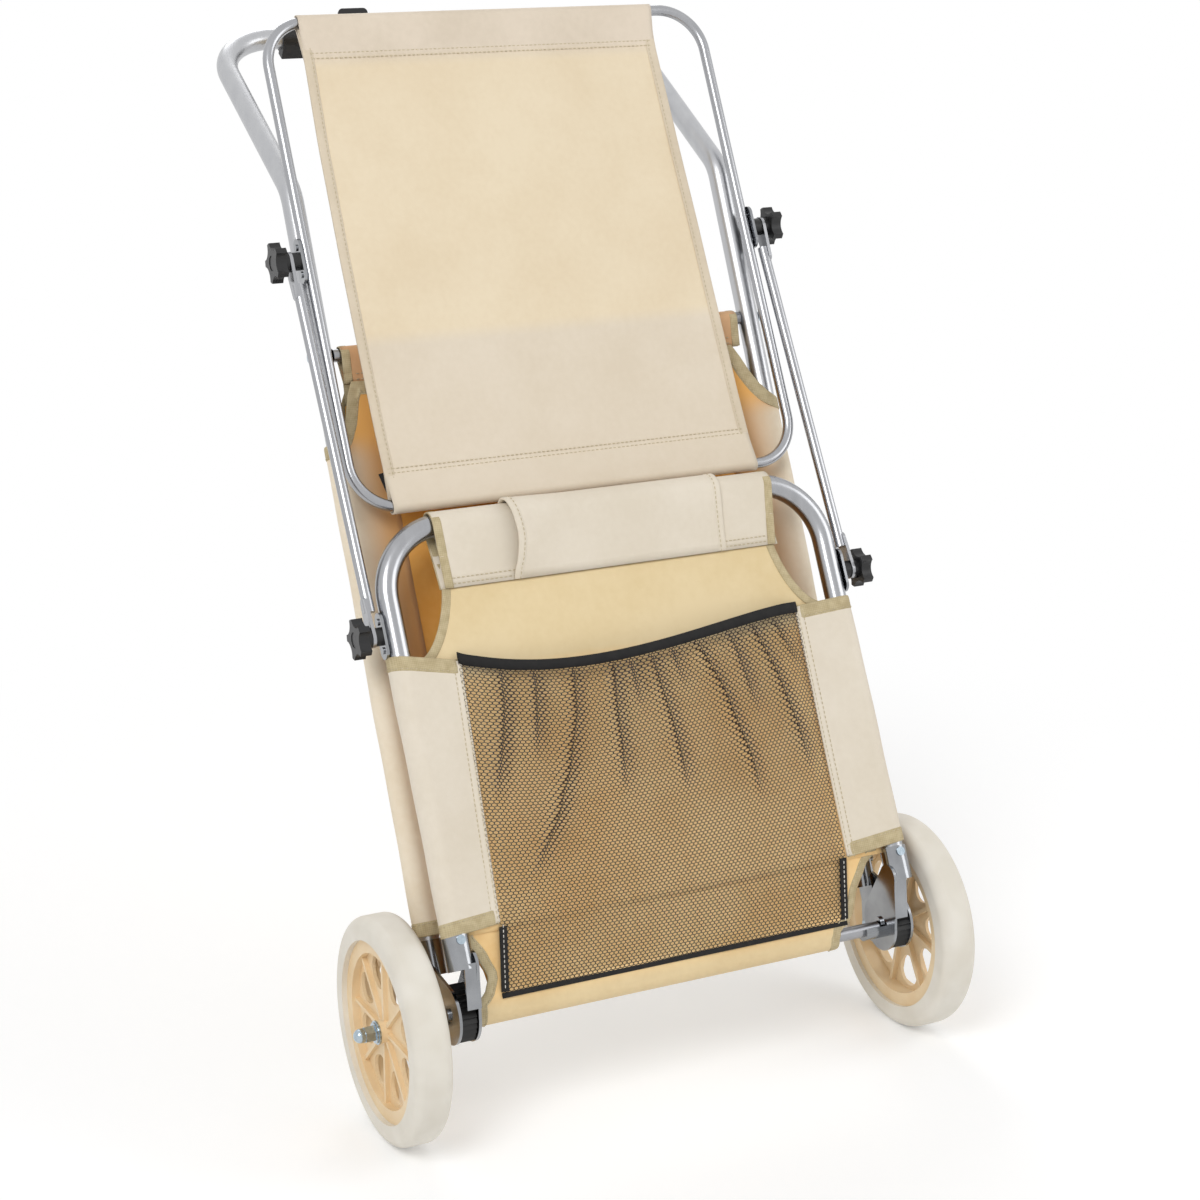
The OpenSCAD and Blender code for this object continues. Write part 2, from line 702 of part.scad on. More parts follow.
// Hem round a bar: round over the bar, then two layers closing towards the seam.
module top_roll(r, half) {
    rod(-half, half, r);
    tip = cloth_t / 2 - 0.3;
    plate(-half, half) polygon([[-r, 0], [r, 0], [tip, -top_hem], [-tip, -top_hem]]);
}
// Second band of fabric over the front of the top roll.
module top_band() {
    x0 = -98;
    x1 = 112;
    inner = sleeve_r + soft;
    outer = inner + cloth_t;
    color("antiquewhite") on_back() translate([0, -back_off, back_len]) difference() {
        plate(x0, x1) {
            circle(r = outer);
            polygon([[-outer, 0], [0, 0], [-1, 2 - top_hem], [-cloth_t * 1.8, 2 - top_hem]]);
        }
        plate(x0 - 1, x1 + 1) {
            circle(r = inner);
            polygon([[-inner, 0], [outer + 1, 0], [outer + 1, -top_hem], [-cloth_t / 2 - soft, -top_hem]]);
            translate([2, -1]) square(outer + 1);
        }
    }
}

rear_outline = concat(
    [[roll_half - 0.5, -30]],
    reversed(scoop(beside_socket, rear_sleeve[0], roll_half - 0.5, 20)),
    [[sleeve_mid, rear_sleeve[0] + 1]],
    reversed(scoop(rear_half - 0.5, seat_len - 30, sleeve_mid, rear_sleeve[1] - 1)),
    [[rear_half - 0.5, seat_len]]
);
module rear_panel() {
    color("burlywood") on_seat() difference() {
        union() {
            intersection() {
                plate(-half_w, half_w) polygon([
                    [seat_off - cloth_t / 2, seat_len], [seat_off - cloth_t / 2, bend_z],
                    [slope_end - cloth_t, 6], [slope_end, 6],
                    [seat_off + cloth_t / 2, bend_z], [seat_off + cloth_t / 2, seat_len],
                ]);
                through_y() mirrored_outline(rear_outline);
            }
            side_sleeves(seat_off, rear_sleeve);
            translate([0, seat_off, seat_len]) rod(-rear_half, rear_half, roll_r);
        }
        both() translate([half_w, seat_off, 0]) cylinder(r = tube_r + soft, h = seat_len);
        translate([0, seat_off, seat_len]) rod(-half_w, half_w, cross_r + soft);
    }
}

// ---- mesh pocket ------------------------------------------------------------------

pocket_z = 8;
pocket_half = side_seam;
mesh_t = 1.2;
panel_front = back_off + cloth_t / 2 + soft;
slope_share = (bend_z - pocket_z) / (bend_z + cross_drop);
slope_y = -panel_front + slope_share * (slope_foot + panel_front) - soft;   // before the slope at pocket_z
// Profile of the pocket in (Y, Z): outside, then what is hollow, open towards the panel.
module mesh_pocket() {
    top = pocket_z + pocket_h;
    front = -panel_front - pocket_gap;
    foot = -roll_r - 9;
    color("darkkhaki") on_back() difference() {
        plate(-pocket_half, pocket_half) polygon([
            [slope_y, pocket_z], [foot, pocket_z], [front, bend_z + 30],
            [front, top], [-panel_front, top], [-panel_front, bend_z],
        ]);
        plate(-pocket_half + mesh_t, pocket_half - mesh_t) polygon([
            [-roll_r - 1, pocket_z + mesh_t], [foot + mesh_t, pocket_z + mesh_t],
            [front + mesh_t, bend_z + 30], [front + mesh_t, top + 1],
            [-panel_front + 2, top + 1], [-panel_front + 2, bend_z],
        ]);
    }
}
module pocket_band() {
    top = pocket_z + pocket_h;
    y0 = -panel_front - pocket_gap - 1.8;
    color("black") on_back() translate([-pocket_half, y0, top - 10]) cube([2 * pocket_half, 1.5, 10]);
}

// ---- nodes ------------------------------------------------------------------------

handle_tube();
rear_cross_tube();
cross_tube_screws();
rear_panel();
rear_hinge_left();
rear_hinge_right();
rear_hinge_screws();
ratchet_disc_left();
ratchet_disc_right();
hinge_rivet_left();
hinge_rivet_right();
axle_bolt_left();
axle_bolt_right();
axle_spacer_left();
axle_spacer_right();
axle_washers_left();
axle_washers_right();
acorn_nut_left();
acorn_nut_right();
handle_feet();
back_tube();
bottom_cross_tube();
front_hinge_left();
front_hinge_right();
front_hinge_screws();
front_panel();
top_band();
mesh_pocket();
pocket_band();
lower_bracket_left();
lower_bracket_right();
lower_rivets();
lower_bolts();
lower_spacers();
strut_left();
strut_right();
canopy_tube();
canopy_fabric();
upper_bracket_left();
upper_bracket_right();
upper_rivets();
upper_bolts();
upper_spacers();
canopy_clip();
knob_lower_left();
knob_lower_right();
knob_upper_left();
knob_upper_right();
hub_left();
hub_right();
tyre_left();
tyre_right();
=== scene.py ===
"""Folding beach cart with a tilting sun canopy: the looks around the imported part.

Lengths in the classes are millimetres unless a name says otherwise; meshes are in metres.
The soft pieces are drawn in the upright coordinates of the frame that carries them
(z along its side tubes, -y towards the load) and then leaned back about the hinge axis.
"""
import logging
import math
from collections.abc import Iterable, Sequence
from dataclasses import dataclass, field
from enum import Enum
from typing import TypeVar

import bpy
from mathutils import Matrix, Vector
from mathutils.bvhtree import BVHTree


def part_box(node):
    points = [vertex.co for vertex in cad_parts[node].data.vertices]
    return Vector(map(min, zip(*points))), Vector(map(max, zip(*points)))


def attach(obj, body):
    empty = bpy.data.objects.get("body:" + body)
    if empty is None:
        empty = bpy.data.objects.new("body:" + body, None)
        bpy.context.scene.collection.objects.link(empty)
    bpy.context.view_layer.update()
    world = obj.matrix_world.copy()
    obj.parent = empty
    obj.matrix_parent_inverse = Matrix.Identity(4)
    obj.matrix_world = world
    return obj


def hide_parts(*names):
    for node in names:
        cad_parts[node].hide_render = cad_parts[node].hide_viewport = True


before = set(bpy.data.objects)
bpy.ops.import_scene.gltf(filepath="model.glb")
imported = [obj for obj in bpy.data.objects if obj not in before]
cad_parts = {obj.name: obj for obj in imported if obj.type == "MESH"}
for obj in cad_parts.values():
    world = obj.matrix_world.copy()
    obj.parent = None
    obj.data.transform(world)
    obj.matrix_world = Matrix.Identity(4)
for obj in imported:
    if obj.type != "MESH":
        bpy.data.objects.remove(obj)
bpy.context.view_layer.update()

MM = 0.001
BACK_LEAN = 28.0       # degrees that the back rest's frame leans back
SEAT_LEAN = 25.7       # degrees that the seat's frame leans back
LOG = logging.getLogger("beach_cart")

Item = TypeVar("Item")
Point = tuple[float, float, float]
Station = tuple[Vector, Vector, Vector]     # place, normal, way into the cloth
Corners = tuple[tuple[float, float], ...]   # of an outline or a curve
Socket = bpy.types.NodeSocket


# ---- the photograph: camera and named points -----------------------------------------

@dataclass(frozen=True)
class Eye:
    """The photograph's camera, solved from the left and right pairs of points.

    Its points are in the photograph's frame of width by height pixels.
    """

    width: int = 1200
    height: int = 1200
    place: Point = (-0.9406, -2.02826, 1.0794)
    yaw: float = 25.9326
    down: float = 17.1477
    lens: float = 74.469
    sensor: float = 36.0
    shift_x: float = 0.0
    shift_y: float = 0.0
    near: float = 1.6        # where a search along a ray for the nearest cloth starts, in metres
    stride: float = 0.008    # and its steps
    strides: int = 200

    def make(self) -> bpy.types.Object:
        """Adds the camera and makes it the scene's.

        Returns:
            The camera object.
        """
        data = bpy.data.cameras.new("camera")
        data.lens = self.lens
        data.sensor_width = self.sensor
        data.sensor_fit = "AUTO"
        data.shift_x, data.shift_y = self.shift_x, self.shift_y
        data.clip_start, data.clip_end = 0.05, 60.0
        camera = bpy.data.objects.new("camera", data)
        camera.location = self.place
        camera.rotation_euler = (math.radians(90 - self.down), 0.0, math.radians(-self.yaw))
        bpy.context.scene.collection.objects.link(camera)
        bpy.context.scene.camera = camera
        bpy.context.view_layer.update()
        return camera

    def axes(self) -> Matrix:
        """The camera's axes in the row frame."""
        return (Matrix.Rotation(math.radians(-self.yaw), 3, "Z")
                @ Matrix.Rotation(math.radians(90 - self.down), 3, "X"))

    def ray(self, x: float, y: float) -> Vector:
        """Direction through a pixel of the photograph.

        Args:
            x: The pixel's distance from the photograph's left edge.
            y: Its distance from the top edge.

        Returns:
            The direction in the row frame.
        """
        side = max(self.width, self.height)
        return (self.axes() @ Vector((
            x - self.width / 2 + self.shift_x * side,
            self.height / 2 - y + self.shift_y * side,
            -side * self.lens / self.sensor,
        ))).normalized()

    def pixel(self, point: Vector) -> tuple[float, float]:
        """The pixel of the photograph at which a point shows.

        Args:
            point: The point in the row frame.

        Returns:
            Its distances from the photograph's left and top edges.
        """
        seen = self.axes().transposed() @ (point - Vector(self.place))
        side = max(self.width, self.height)
        scale = side * self.lens / self.sensor / -seen.z
        return (self.width / 2 - self.shift_x * side + seen.x * scale,
                self.height / 2 + self.shift_y * side - seen.y * scale)

    def on(self, name: str, carriers: BVHTree) -> Vector:
        """Where a named image point lies on what carries the piece.

        Args:
            name: A name in IMAGE_POINTS.
            carriers: What carries the piece, as finished and placed.

        Returns:
            The place in the row frame; for a miss, the place nearest the ray.
        """
        x, y = IMAGE_POINTS[name]
        start, way = Vector(self.place), self.ray(x, y)
        hit = carriers.ray_cast(start, way)[0]
        if hit is not None:
            return hit
        best = None
        for step in range(self.strides):
            probe = start + way * (self.near + self.stride * step)
            near, _, _, far = carriers.find_nearest(probe)
            if near is not None and (best is None or far < best[0]):
                best = (far, near)
        return best[1]


EYE = Eye()


@dataclass(frozen=True)
class Mark:
    """What an image point names: pieces by the beginning of their names, and a part of them.

    way is the direction, right and down, in which the point is their furthest vertex that
    shows; (0, 0) is the middle of what shows. An axis that the direction leaves free isn't
    measured.
    """

    pieces: tuple[str, ...]
    way: tuple[float, float] = (0.0, 0.0)

    def measured(self) -> tuple[bool, bool]:
        """Whether the point's x and its y are measured."""
        middle = self.way == (0.0, 0.0)
        return middle or self.way[0] != 0.0, middle or self.way[1] != 0.0


# The photograph's features, in pixels of its 1200 x 1200 frame.
IMAGE_POINTS: dict[str, tuple[float, float]] = {
    "object_left": (219.0, 74.0),
    "object_right": (975.4, 930.0),
    "object_top": (354.0, 4.0),
    "object_bottom": (406.3, 1149.4),
    "canopy_top_left": (296.6, 16.0),
    "canopy_bottom_left": (394.4, 510.5),
    "canopy_bottom_right": (759.2, 467.2),
    "rear_roll_left": (336.5, 350.0),
    "rear_roll_right": (732.4, 316.0),
    "band_seam": (722.0, 545.0),
    "sleeve_top_left": (384.0, 659.5),
    "sleeve_bottom_right": (900.5, 840.5),
    "pocket_corner_left": (504.0, 999.0),
    "pocket_corner_right": (844.4, 920.9),
    "foot_left": (481.0, 1024.0),
    "strap_tab": (383.0, 475.0),
    "hub_left_nut": (362.0, 1035.0),
}

CANOPY_PIECES = ("canopy_cloth", "canopy_side")
LOW_LEFT, LOW_RIGHT = (-0.3, 0.95), (0.8, 0.6)

MARKS: dict[str, Mark] = {
    "object_left": Mark(("",), (-1.0, 0.0)),
    "object_right": Mark(("",), (1.0, 0.0)),
    "object_top": Mark(("",), (0.0, -1.0)),
    "object_bottom": Mark(("",), (0.0, 1.0)),
    "canopy_top_left": Mark(CANOPY_PIECES, (-0.7, -0.7)),
    "canopy_bottom_left": Mark(CANOPY_PIECES, LOW_LEFT),
    "canopy_bottom_right": Mark(CANOPY_PIECES, (0.7, 0.7)),
    "rear_roll_left": Mark(("rear_roll", "rear_cut"), (-1.0, -0.1)),
    "rear_roll_right": Mark(("rear_roll", "rear_cut"), (0.8, -0.6)),
    "band_seam": Mark(("front_band",), LOW_RIGHT),
    "sleeve_top_left": Mark(("front_sleeve",), (-0.6, -0.8)),
    "sleeve_bottom_right": Mark(("front_sleeve",), LOW_RIGHT),
    "pocket_corner_left": Mark(("pocket_net",), LOW_LEFT),
    "pocket_corner_right": Mark(("pocket_net",), LOW_RIGHT),
    "foot_left": Mark(("front_foot",), LOW_LEFT),
    "strap_tab": Mark(("canopy_strap_tab",)),
    "hub_left_nut": Mark(("acorn_nut_left",)),
}


# ---- colours and nodes ----------------------------------------------------------------

def linear(colour: str) -> tuple[float, float, float, float]:
    """An sRGB hex colour as the linear values that Blender's sockets take."""
    parts = [int(colour[i:i + 2], 16) / 255 for i in (1, 3, 5)]
    return (*[c / 12.92 if c <= 0.04045 else ((c + 0.055) / 1.055) ** 2.4 for c in parts], 1.0)


def add_node(tree: bpy.types.NodeTree, kind: str, values: dict | None = None,
             links: dict | None = None, **settings: object) -> bpy.types.Node:
    """Adds one node.

    Args:
        tree: The material's or world's node tree.
        kind: Blender's name of the node.
        values: Values of its input sockets, by name or number.
        links: Output sockets that feed its inputs, by name or number.
        **settings: Other attributes of the node.

    Returns:
        The new node.
    """
    made = tree.nodes.new(kind)
    for key, value in settings.items():
        setattr(made, key, value)
    for key, value in (values or {}).items():
        made.inputs[key].default_value = value
    for key, source in (links or {}).items():
        tree.links.new(source, made.inputs[key])
    return made


def ramp(tree: bpy.types.NodeTree, source: Socket, stops: Sequence[tuple[float, str]]) -> Socket:
    """Turns a value into a colour between hex stops.

    Args:
        tree: The material's node tree.
        source: The value.
        stops: Positions and hex colours.

    Returns:
        The colour socket.
    """
    made = add_node(tree, "ShaderNodeValToRGB", links={0: source})
    band = made.color_ramp
    while len(band.elements) < len(stops):
        band.elements.new(0.5)
    for element, (at, colour) in zip(band.elements, stops):
        element.position = at
        element.color = linear(colour)
    return made.outputs["Color"]


def start_material(name: str) -> tuple[bpy.types.Material, bpy.types.NodeTree, bpy.types.Node]:
    """A new material with one Principled shader.

    Args:
        name: Its name.

    Returns:
        The material, its node tree and the shader node.
    """
    material = bpy.data.materials.new(name)
    material.use_nodes = True
    tree = material.node_tree
    tree.nodes.clear()
    shader = add_node(tree, "ShaderNodeBsdfPrincipled")
    add_node(tree, "ShaderNodeOutputMaterial", links={"Surface": shader.outputs[0]})
    return material, tree, shader


def lean_coordinates(tree: bpy.types.NodeTree, lean: float) -> Socket:
    """Object coordinates turned upright with a frame that leans back by lean degrees."""
    place = add_node(tree, "ShaderNodeTexCoord")
    return add_node(tree, "ShaderNodeMapping", {"Rotation": (math.radians(lean), 0.0, 0.0)},
                    {"Vector": place.outputs["Object"]}).outputs[0]


def noise(tree: bpy.types.NodeTree, place: Socket, size: float, detail: float = 2.0,
          roughness: float = 0.5) -> Socket:
    """Adds noise.

    Args:
        tree: The material's node tree.
        place: The coordinates.
        size: Width of its clouds in millimetres.
        detail: How many finer layers it has.
        roughness: How strong the finer layers are.

    Returns:
        Its value socket.
    """
    return add_node(tree, "ShaderNodeTexNoise",
                    {"Scale": 1 / (size * MM), "Detail": detail, "Roughness": roughness},
                    {"Vector": place}).outputs[0]


def calculate(tree: bpy.types.NodeTree, operation: str, *terms: Socket | float) -> Socket:
    """Adds a calculation.

    Args:
        tree: The material's or world's node tree.
        operation: Blender's name of the calculation.
        *terms: Its terms, each a number or a value socket.

    Returns:
        The value socket of its result.
    """
    values = {i: term for i, term in enumerate(terms) if isinstance(term, float)}
    links = {i: term for i, term in enumerate(terms) if not isinstance(term, float)}
    return add_node(tree, "ShaderNodeMath", values, links, operation=operation).outputs[0]


def ripple(tree: bpy.types.NodeTree, source: Socket, period: float) -> Socket:
    """The sine of a coordinate, with its period in millimetres."""
    turns = calculate(tree, "MULTIPLY", source, 2 * math.pi / (period * MM))
    return calculate(tree, "SINE", turns)


def climb(tree: bpy.types.NodeTree, source: Socket, low: float, high: float) -> Socket:
    """Runs from 0 to 1 with level ends as a coordinate goes from low to high millimetres."""
    return add_node(tree, "ShaderNodeMapRange", {"From Min": low * MM, "From Max": high * MM},
                    {"Value": source}, interpolation_type="SMOOTHSTEP").outputs[0]


def stipple(tree: bpy.types.NodeTree, shader: bpy.types.Node, height: Socket, strength: float,
            depth: float) -> None:
    """Bumps a shader's surface.

    Args:
        tree: The material's node tree.
        shader: The shader.
        height: The value socket that gives the height.
        strength: How strongly the bumps show.
        depth: How deep they are, in millimetres.
    """
    bump = add_node(tree, "ShaderNodeBump", {"Strength": strength, "Distance": depth * MM},
                    {"Height": height})
    tree.links.new(bump.outputs[0], shader.inputs["Normal"])


def vary_roughness(tree: bpy.types.NodeTree, shader: bpy.types.Node, source: Socket,
                   roughness: float, share: float) -> None:
    """Varies a shader's roughness.

    Args:
        tree: The material's node tree.
        shader: The shader.
        source: The value socket that it varies with.
        roughness: Its middle.
        share: By which share of the middle it varies either way.
    """
    rough = add_node(tree, "ShaderNodeMapRange",
                     {"To Min": roughness * (1 - share), "To Max": roughness * (1 + share)},
                     {"Value": source})
    tree.links.new(rough.outputs[0], shader.inputs["Roughness"])


# Sockets of a colour mix.
SHARE, FIRST_COLOUR, SECOND_COLOUR, MIXED = 0, 6, 7, 2


class Way(Enum):
    """Which way a drawn or moulded surface is streaked."""

    ALONG_X = (0.25, 3.0, 3.0)
    ALONG_Z = (3.0, 3.0, 0.25)
    NONE = (1.0, 1.0, 1.0)


@dataclass(frozen=True)
class CoatedPolyester:
    """Oxford polyester, plain woven from 0.5 mm yarn and coated on its back.

    The coating makes it matt and stiff, so it hangs smooth with soft clouds of tone. Where
    light from elsewhere on the cart falls on the cloth, its tone is given by place.
    """

    name: str
    colour: str
    shade: str
    lean: float = BACK_LEAN
    # zones, beside and crown paint light and shade into the cloth's colour by place.
    zones: tuple[tuple[float, str, str], ...] = ()   # heights, top down, and the painted colours below
    beside: tuple[float, float, str] | None = None   # half widths from plain to painted shade, and its colour
    crown: tuple[float, float, str] | None = None    # heights from plain to painted glow, and its colour
    front: float = 0.0       # only cloth before this depth gets the painted light
    blur: float = 9.0        # half the height over which one zone runs into the next
    brink: float = 3.0       # and half the depth over which the painted light ends
    stops: tuple[float, float] = (0.36, 0.62)        # noise at which it is shade and colour
    thread: float = 1.5      # the real 0.5 mm yarn is drawn three times as coarse to show

    def make(self) -> bpy.types.Material:
        """Builds the material.

        Returns:
            The material.
        """
        material, tree, shader = start_material(self.name)
        place = lean_coordinates(tree, self.lean)
        cloud = noise(tree, place, 90.0, 3.0, 0.55)
        slub = noise(tree, place, 6.0)
        clouds = add_node(tree, "ShaderNodeMix", {"Factor": 0.25},
                          {"A": cloud, "B": slub}).outputs[0]
        tone = self.tone(tree, clouds, self.shade, self.colour)
        parts = add_node(tree, "ShaderNodeSeparateXYZ", links={0: place})
        tone = self.lit_tone(tree, clouds, parts, tone)
        tree.links.new(tone, shader.inputs["Base Color"])
        weave = calculate(tree, "MULTIPLY",
                          *[ripple(tree, parts.outputs[axis], self.thread) for axis in ("X", "Z")])
        stipple(tree, shader, calculate(tree, "MULTIPLY_ADD", weave, 0.5, slub), 0.22, 0.25)
        shader.inputs["Roughness"].default_value = 0.82
        shader.inputs["Sheen Weight"].default_value = 0.12
        shader.inputs["Sheen Roughness"].default_value = 0.5
        return material

    def tone(self, tree: bpy.types.NodeTree, clouds: Socket, shade: str, colour: str) -> Socket:
        """The cloth's soft clouds between two colours."""
        return ramp(tree, clouds, list(zip(self.stops, (shade, colour))))

    def lit_tone(self, tree: bpy.types.NodeTree, clouds: Socket, parts: bpy.types.Node,
                 tone: Socket) -> Socket:
        """Changes the tone with painted light and shade, by zones of height and towards the edges.

        Args:
            tree: The material's node tree.
            clouds: The value of the soft clouds.
            parts: The node with the upright coordinates apart.
            tone: The cloth's own tone.

        Returns:
            The socket of the changed tone.
        """
        for height, shade, colour in self.zones:
            high = climb(tree, parts.outputs["Z"], height - self.blur, height + self.blur)
            below = self.tone(tree, clouds, shade, colour)
            tone = add_node(tree, "ShaderNodeMix",
                            links={SHARE: high, FIRST_COLOUR: below, SECOND_COLOUR: tone},
                            data_type="RGBA").outputs[MIXED]
        half = calculate(tree, "ABSOLUTE", parts.outputs["X"])
        behind = add_node(tree, "ShaderNodeMapRange",
                          {"From Min": (self.front - self.brink) * MM,
                           "From Max": (self.front + self.brink) * MM},
                          {"Value": parts.outputs["Y"]}).outputs[0]
        # beside paints shade by half width, crown paints glow by height; cloth behind front stays
        # plain.
        for source, painted_light in ((half, self.beside), (parts.outputs["Z"], self.crown)):
            if painted_light is None:
                continue
            plain, painted_full, colour = painted_light
            own = calculate(tree, "MAXIMUM", climb(tree, source, painted_full, plain), behind)
            tone = add_node(tree, "ShaderNodeMix", {FIRST_COLOUR: linear(colour)},
                            {SHARE: own, SECOND_COLOUR: tone}, data_type="RGBA").outputs[MIXED]
        return tone


@dataclass(frozen=True)
class RibbedTape:
    """Twill binding tape: its slanting ribs give a fine, slightly darker grain than the cloth."""

    name: str
    colour: str
    shade: str
    rib: float = 3.4         # a real rib is 0.8 mm; drawn wider to show

    def make(self) -> bpy.types.Material:
        """Builds the material.

        Returns:
            The material.
        """
        material, tree, shader = start_material(self.name)
        place = lean_coordinates(tree, BACK_LEAN)
        parts = add_node(tree, "ShaderNodeSeparateXYZ", links={0: place})
        x, z = parts.outputs["X"], parts.outputs["Z"]
        slants = [ripple(tree, calculate(tree, way, x, z), self.rib) for way in ("ADD", "SUBTRACT")]
        twill = calculate(tree, "MULTIPLY", *slants)
        ribs = calculate(tree, "MULTIPLY_ADD", twill, 0.16, noise(tree, place, 7.0, 3.0))
        tree.links.new(ramp(tree, ribs, [(0.3, self.shade), (0.7, self.colour)]),
                       shader.inputs["Base Color"])
        stipple(tree, shader, ribs, 0.3, 0.3)
        shader.inputs["Roughness"].default_value = 0.85
        return material


@dataclass(frozen=True)
class SpunThread:
    """Polyester sewing thread: twisted, so each stitch has a soft highlight."""

    name: str
    colour: str
    shade: str
    twist: float = 1.2       # length of one turn of the thread

    def make(self) -> bpy.types.Material:
        """Builds the material.

        Returns:
            The material.
        """
        material, tree, shader = start_material(self.name)
        place = add_node(tree, "ShaderNodeTexCoord").outputs["Object"]
        turns = noise(tree, place, self.twist)
        tree.links.new(ramp(tree, turns, [(0.35, self.shade), (0.65, self.colour)]),
                       shader.inputs["Base Color"])
        shader.inputs["Roughness"].default_value = 0.55
        return material


@dataclass(frozen=True)
class DrawnMetal:
    """Drawn, pressed or plated metal; streaks and haze follow the way it was made."""

    name: str
    colour: str
    shade: str
    roughness: float
    way: Way = Way.NONE
    lean: float = BACK_LEAN
    grain: float = 26.0      # length of a polishing cloud
    line: float = 1.8        # a drawing line is 0.1 mm wide; drawn wider to show

    def make(self) -> bpy.types.Material:
        """Builds the material.

        Returns:
            The material.
        """
        material, tree, shader = start_material(self.name)
        place = lean_coordinates(tree, self.lean)
        along = add_node(tree, "ShaderNodeMapping", {"Scale": self.way.value},
                         {"Vector": place}).outputs[0]
        streak = noise(tree, along, self.grain, 4.0)
        tree.links.new(ramp(tree, streak, [(0.3, self.shade), (0.7, self.colour)]),
                       shader.inputs["Base Color"])
        vary_roughness(tree, shader, streak, self.roughness, 0.06)
        stipple(tree, shader, noise(tree, along, self.line, 0.0), 0.03, 0.02)
        shader.inputs["Metallic"].default_value = 1.0
        return material


@dataclass(frozen=True)
class MouldedPlastic:
    """Injection-moulded plastic: an even colour with faint flow clouds and a spark-eroded grain."""

    name: str
    colour: str
    shade: str
    roughness: float
    grain: float = 0.9       # size of the spark-eroded pits
    depth: float = 0.12
    index: float = 1.49      # of refraction

    def make(self) -> bpy.types.Material:
        """Builds the material.

        Returns:
            The material.
        """
        material, tree, shader = start_material(self.name)
        place = add_node(tree, "ShaderNodeTexCoord").outputs["Object"]
        flow = noise(tree, place, 35.0)
        tree.links.new(ramp(tree, flow, [(0.35, self.shade), (0.65, self.colour)]),
                       shader.inputs["Base Color"])
        erosion = noise(tree, place, self.grain, 1.0)
        stipple(tree, shader, erosion, self.depth, 0.2)
        vary_roughness(tree, shader, erosion, self.roughness, 0.15)
        shader.inputs["IOR"].default_value = self.index
        return material


Finish = CoatedPolyester | RibbedTape | SpunThread | DrawnMetal | MouldedPlastic


@dataclass(frozen=True)
class Finishes:
    """Every finish of the cart, made once."""

    made: dict[str, bpy.types.Material] = field(default_factory=dict)

    def of(self, finish: Finish) -> bpy.types.Material:
        """The Blender material of a finish, built at its first use."""
        if finish.name not in self.made:
            self.made[finish.name] = finish.make()
        return self.made[finish.name]


FINISHES = Finishes()
# White daylight through the cloth warms the canopy above the seat's roll, which shades it below.
CANOPY_CLOTH = CoatedPolyester("canopy_coated_polyester", "#e2d4c1", "#d8cab6", zones=(
    (841.0, "#e4d2b3", "#eadabd"), (578.0, "#ddcfb9", "#e3d6c2")))
HEM_CLOTH = CoatedPolyester("folded_coated_polyester", "#ddcfb8", "#d4c5ad")
SLEEVE_CLOTH = CoatedPolyester("sleeve_coated_polyester", "#e6dccb", "#dfd4c1")
# Behind the net the cloth catches the light that comes through the open cart.
BACK_CLOTH = CoatedPolyester("back_coated_polyester", "#e8d3a8", "#e1ca9b",
                             zones=((268.0, "#efc483", "#f9d69b"),))
# Round the foot the cloth is painted golden as behind the net: painted light through the open cart;
# under the cross tube it goes back to about the plain beige.
FOOT_CLOTH = CoatedPolyester("foot_coated_polyester", "#f9d69b", "#efc483",
                             zones=((-9.0, "#dec597", "#e8d1a4"),))
SEAT_CLOTH = CoatedPolyester("seat_coated_polyester_outside", "#e6dccb", "#dfd4c1", lean=SEAT_LEAN)
# The seat panel's inner face lies between two cream cloths that bounce light at it: it glows amber.
SEAT_INNER = CoatedPolyester("seat_coated_polyester_inside", "#f4b962", "#eba94e", lean=SEAT_LEAN)
# Cream sleeves with painted amber glow above and painted shade with warm bounce towards the seams,
# on their load-side faces only.
SEAT_SLEEVE = CoatedPolyester("seat_sleeve_coated_polyester", "#f0e3cd", "#e8d8bd", lean=SEAT_LEAN,
                              beside=(224.0, 176.0, "#dba76c"), crown=(484.0, 516.0, "#f2b766"),
                              front=-252.3)
# The seat's roll is the same cream cloth; its darker amber tone is painted shade with warm bounce
# from the seat's inner face.
SEAT_ROLL = CoatedPolyester("seat_roll_coated_polyester", "#d9ae83", "#cfa276", lean=SEAT_LEAN)
TAPE = RibbedTape("khaki_twill_binding_tape", "#c9ba95", "#b3a27d")
POCKET_TAPE = RibbedTape("black_twill_binding_tape", "#1c1a18", "#0b0a0a")
ELASTIC = RibbedTape("black_knitted_elastic", "#171514", "#0a0909", rib=2.4)
WEBBING = RibbedTape("black_woven_webbing", "#161412", "#0a0908", rib=2.0)
NETTING = SpunThread("brown_knitted_netting_yarn", "#33210f", "#1e1208")
THREAD = SpunThread("ecru_sewing_thread", "#d2c5a6", "#b9ab88")
WHITE_THREAD = SpunThread("white_sewing_thread", "#f2efe8", "#cfcac0")
TUBE_SEAT = DrawnMetal("satin_drawn_aluminium_rear", "#bebfc1", "#b6b7ba", 0.33, Way.ALONG_Z,
                       SEAT_LEAN)
TUBE_BACK = DrawnMetal("satin_drawn_aluminium_front", "#abacaf", "#a2a3a6", 0.25, Way.ALONG_Z)
BAR = DrawnMetal("satin_drawn_aluminium_bar", "#a9aaad", "#a0a1a4", 0.32, Way.ALONG_X)
CHROME = DrawnMetal("chromed_pressed_steel", "#a3a5a8", "#8e9093", 0.15)
ZINC = DrawnMetal("blue_zinc_plated_steel", "#bccad4", "#a3b2bd", 0.2, grain=5.0)
KNOB = MouldedPlastic("black_glass_filled_nylon", "#1b1b1c", "#121213", 0.36, 0.8, 0.16)
BLACK = MouldedPlastic("black_moulded_polypropylene", "#141414", "#0c0c0c", 0.42)
HUB = MouldedPlastic("peach_moulded_polypropylene", "#efd8b2", "#e9cda2", 0.42, 1.0, 0.05)
TYRE = MouldedPlastic("ivory_foamed_pvc_tyre", "#e9e4d9", "#e1dbce", 0.62, 0.7, 0.3)


# ---- meshes -----------------------------------------------------------------------------

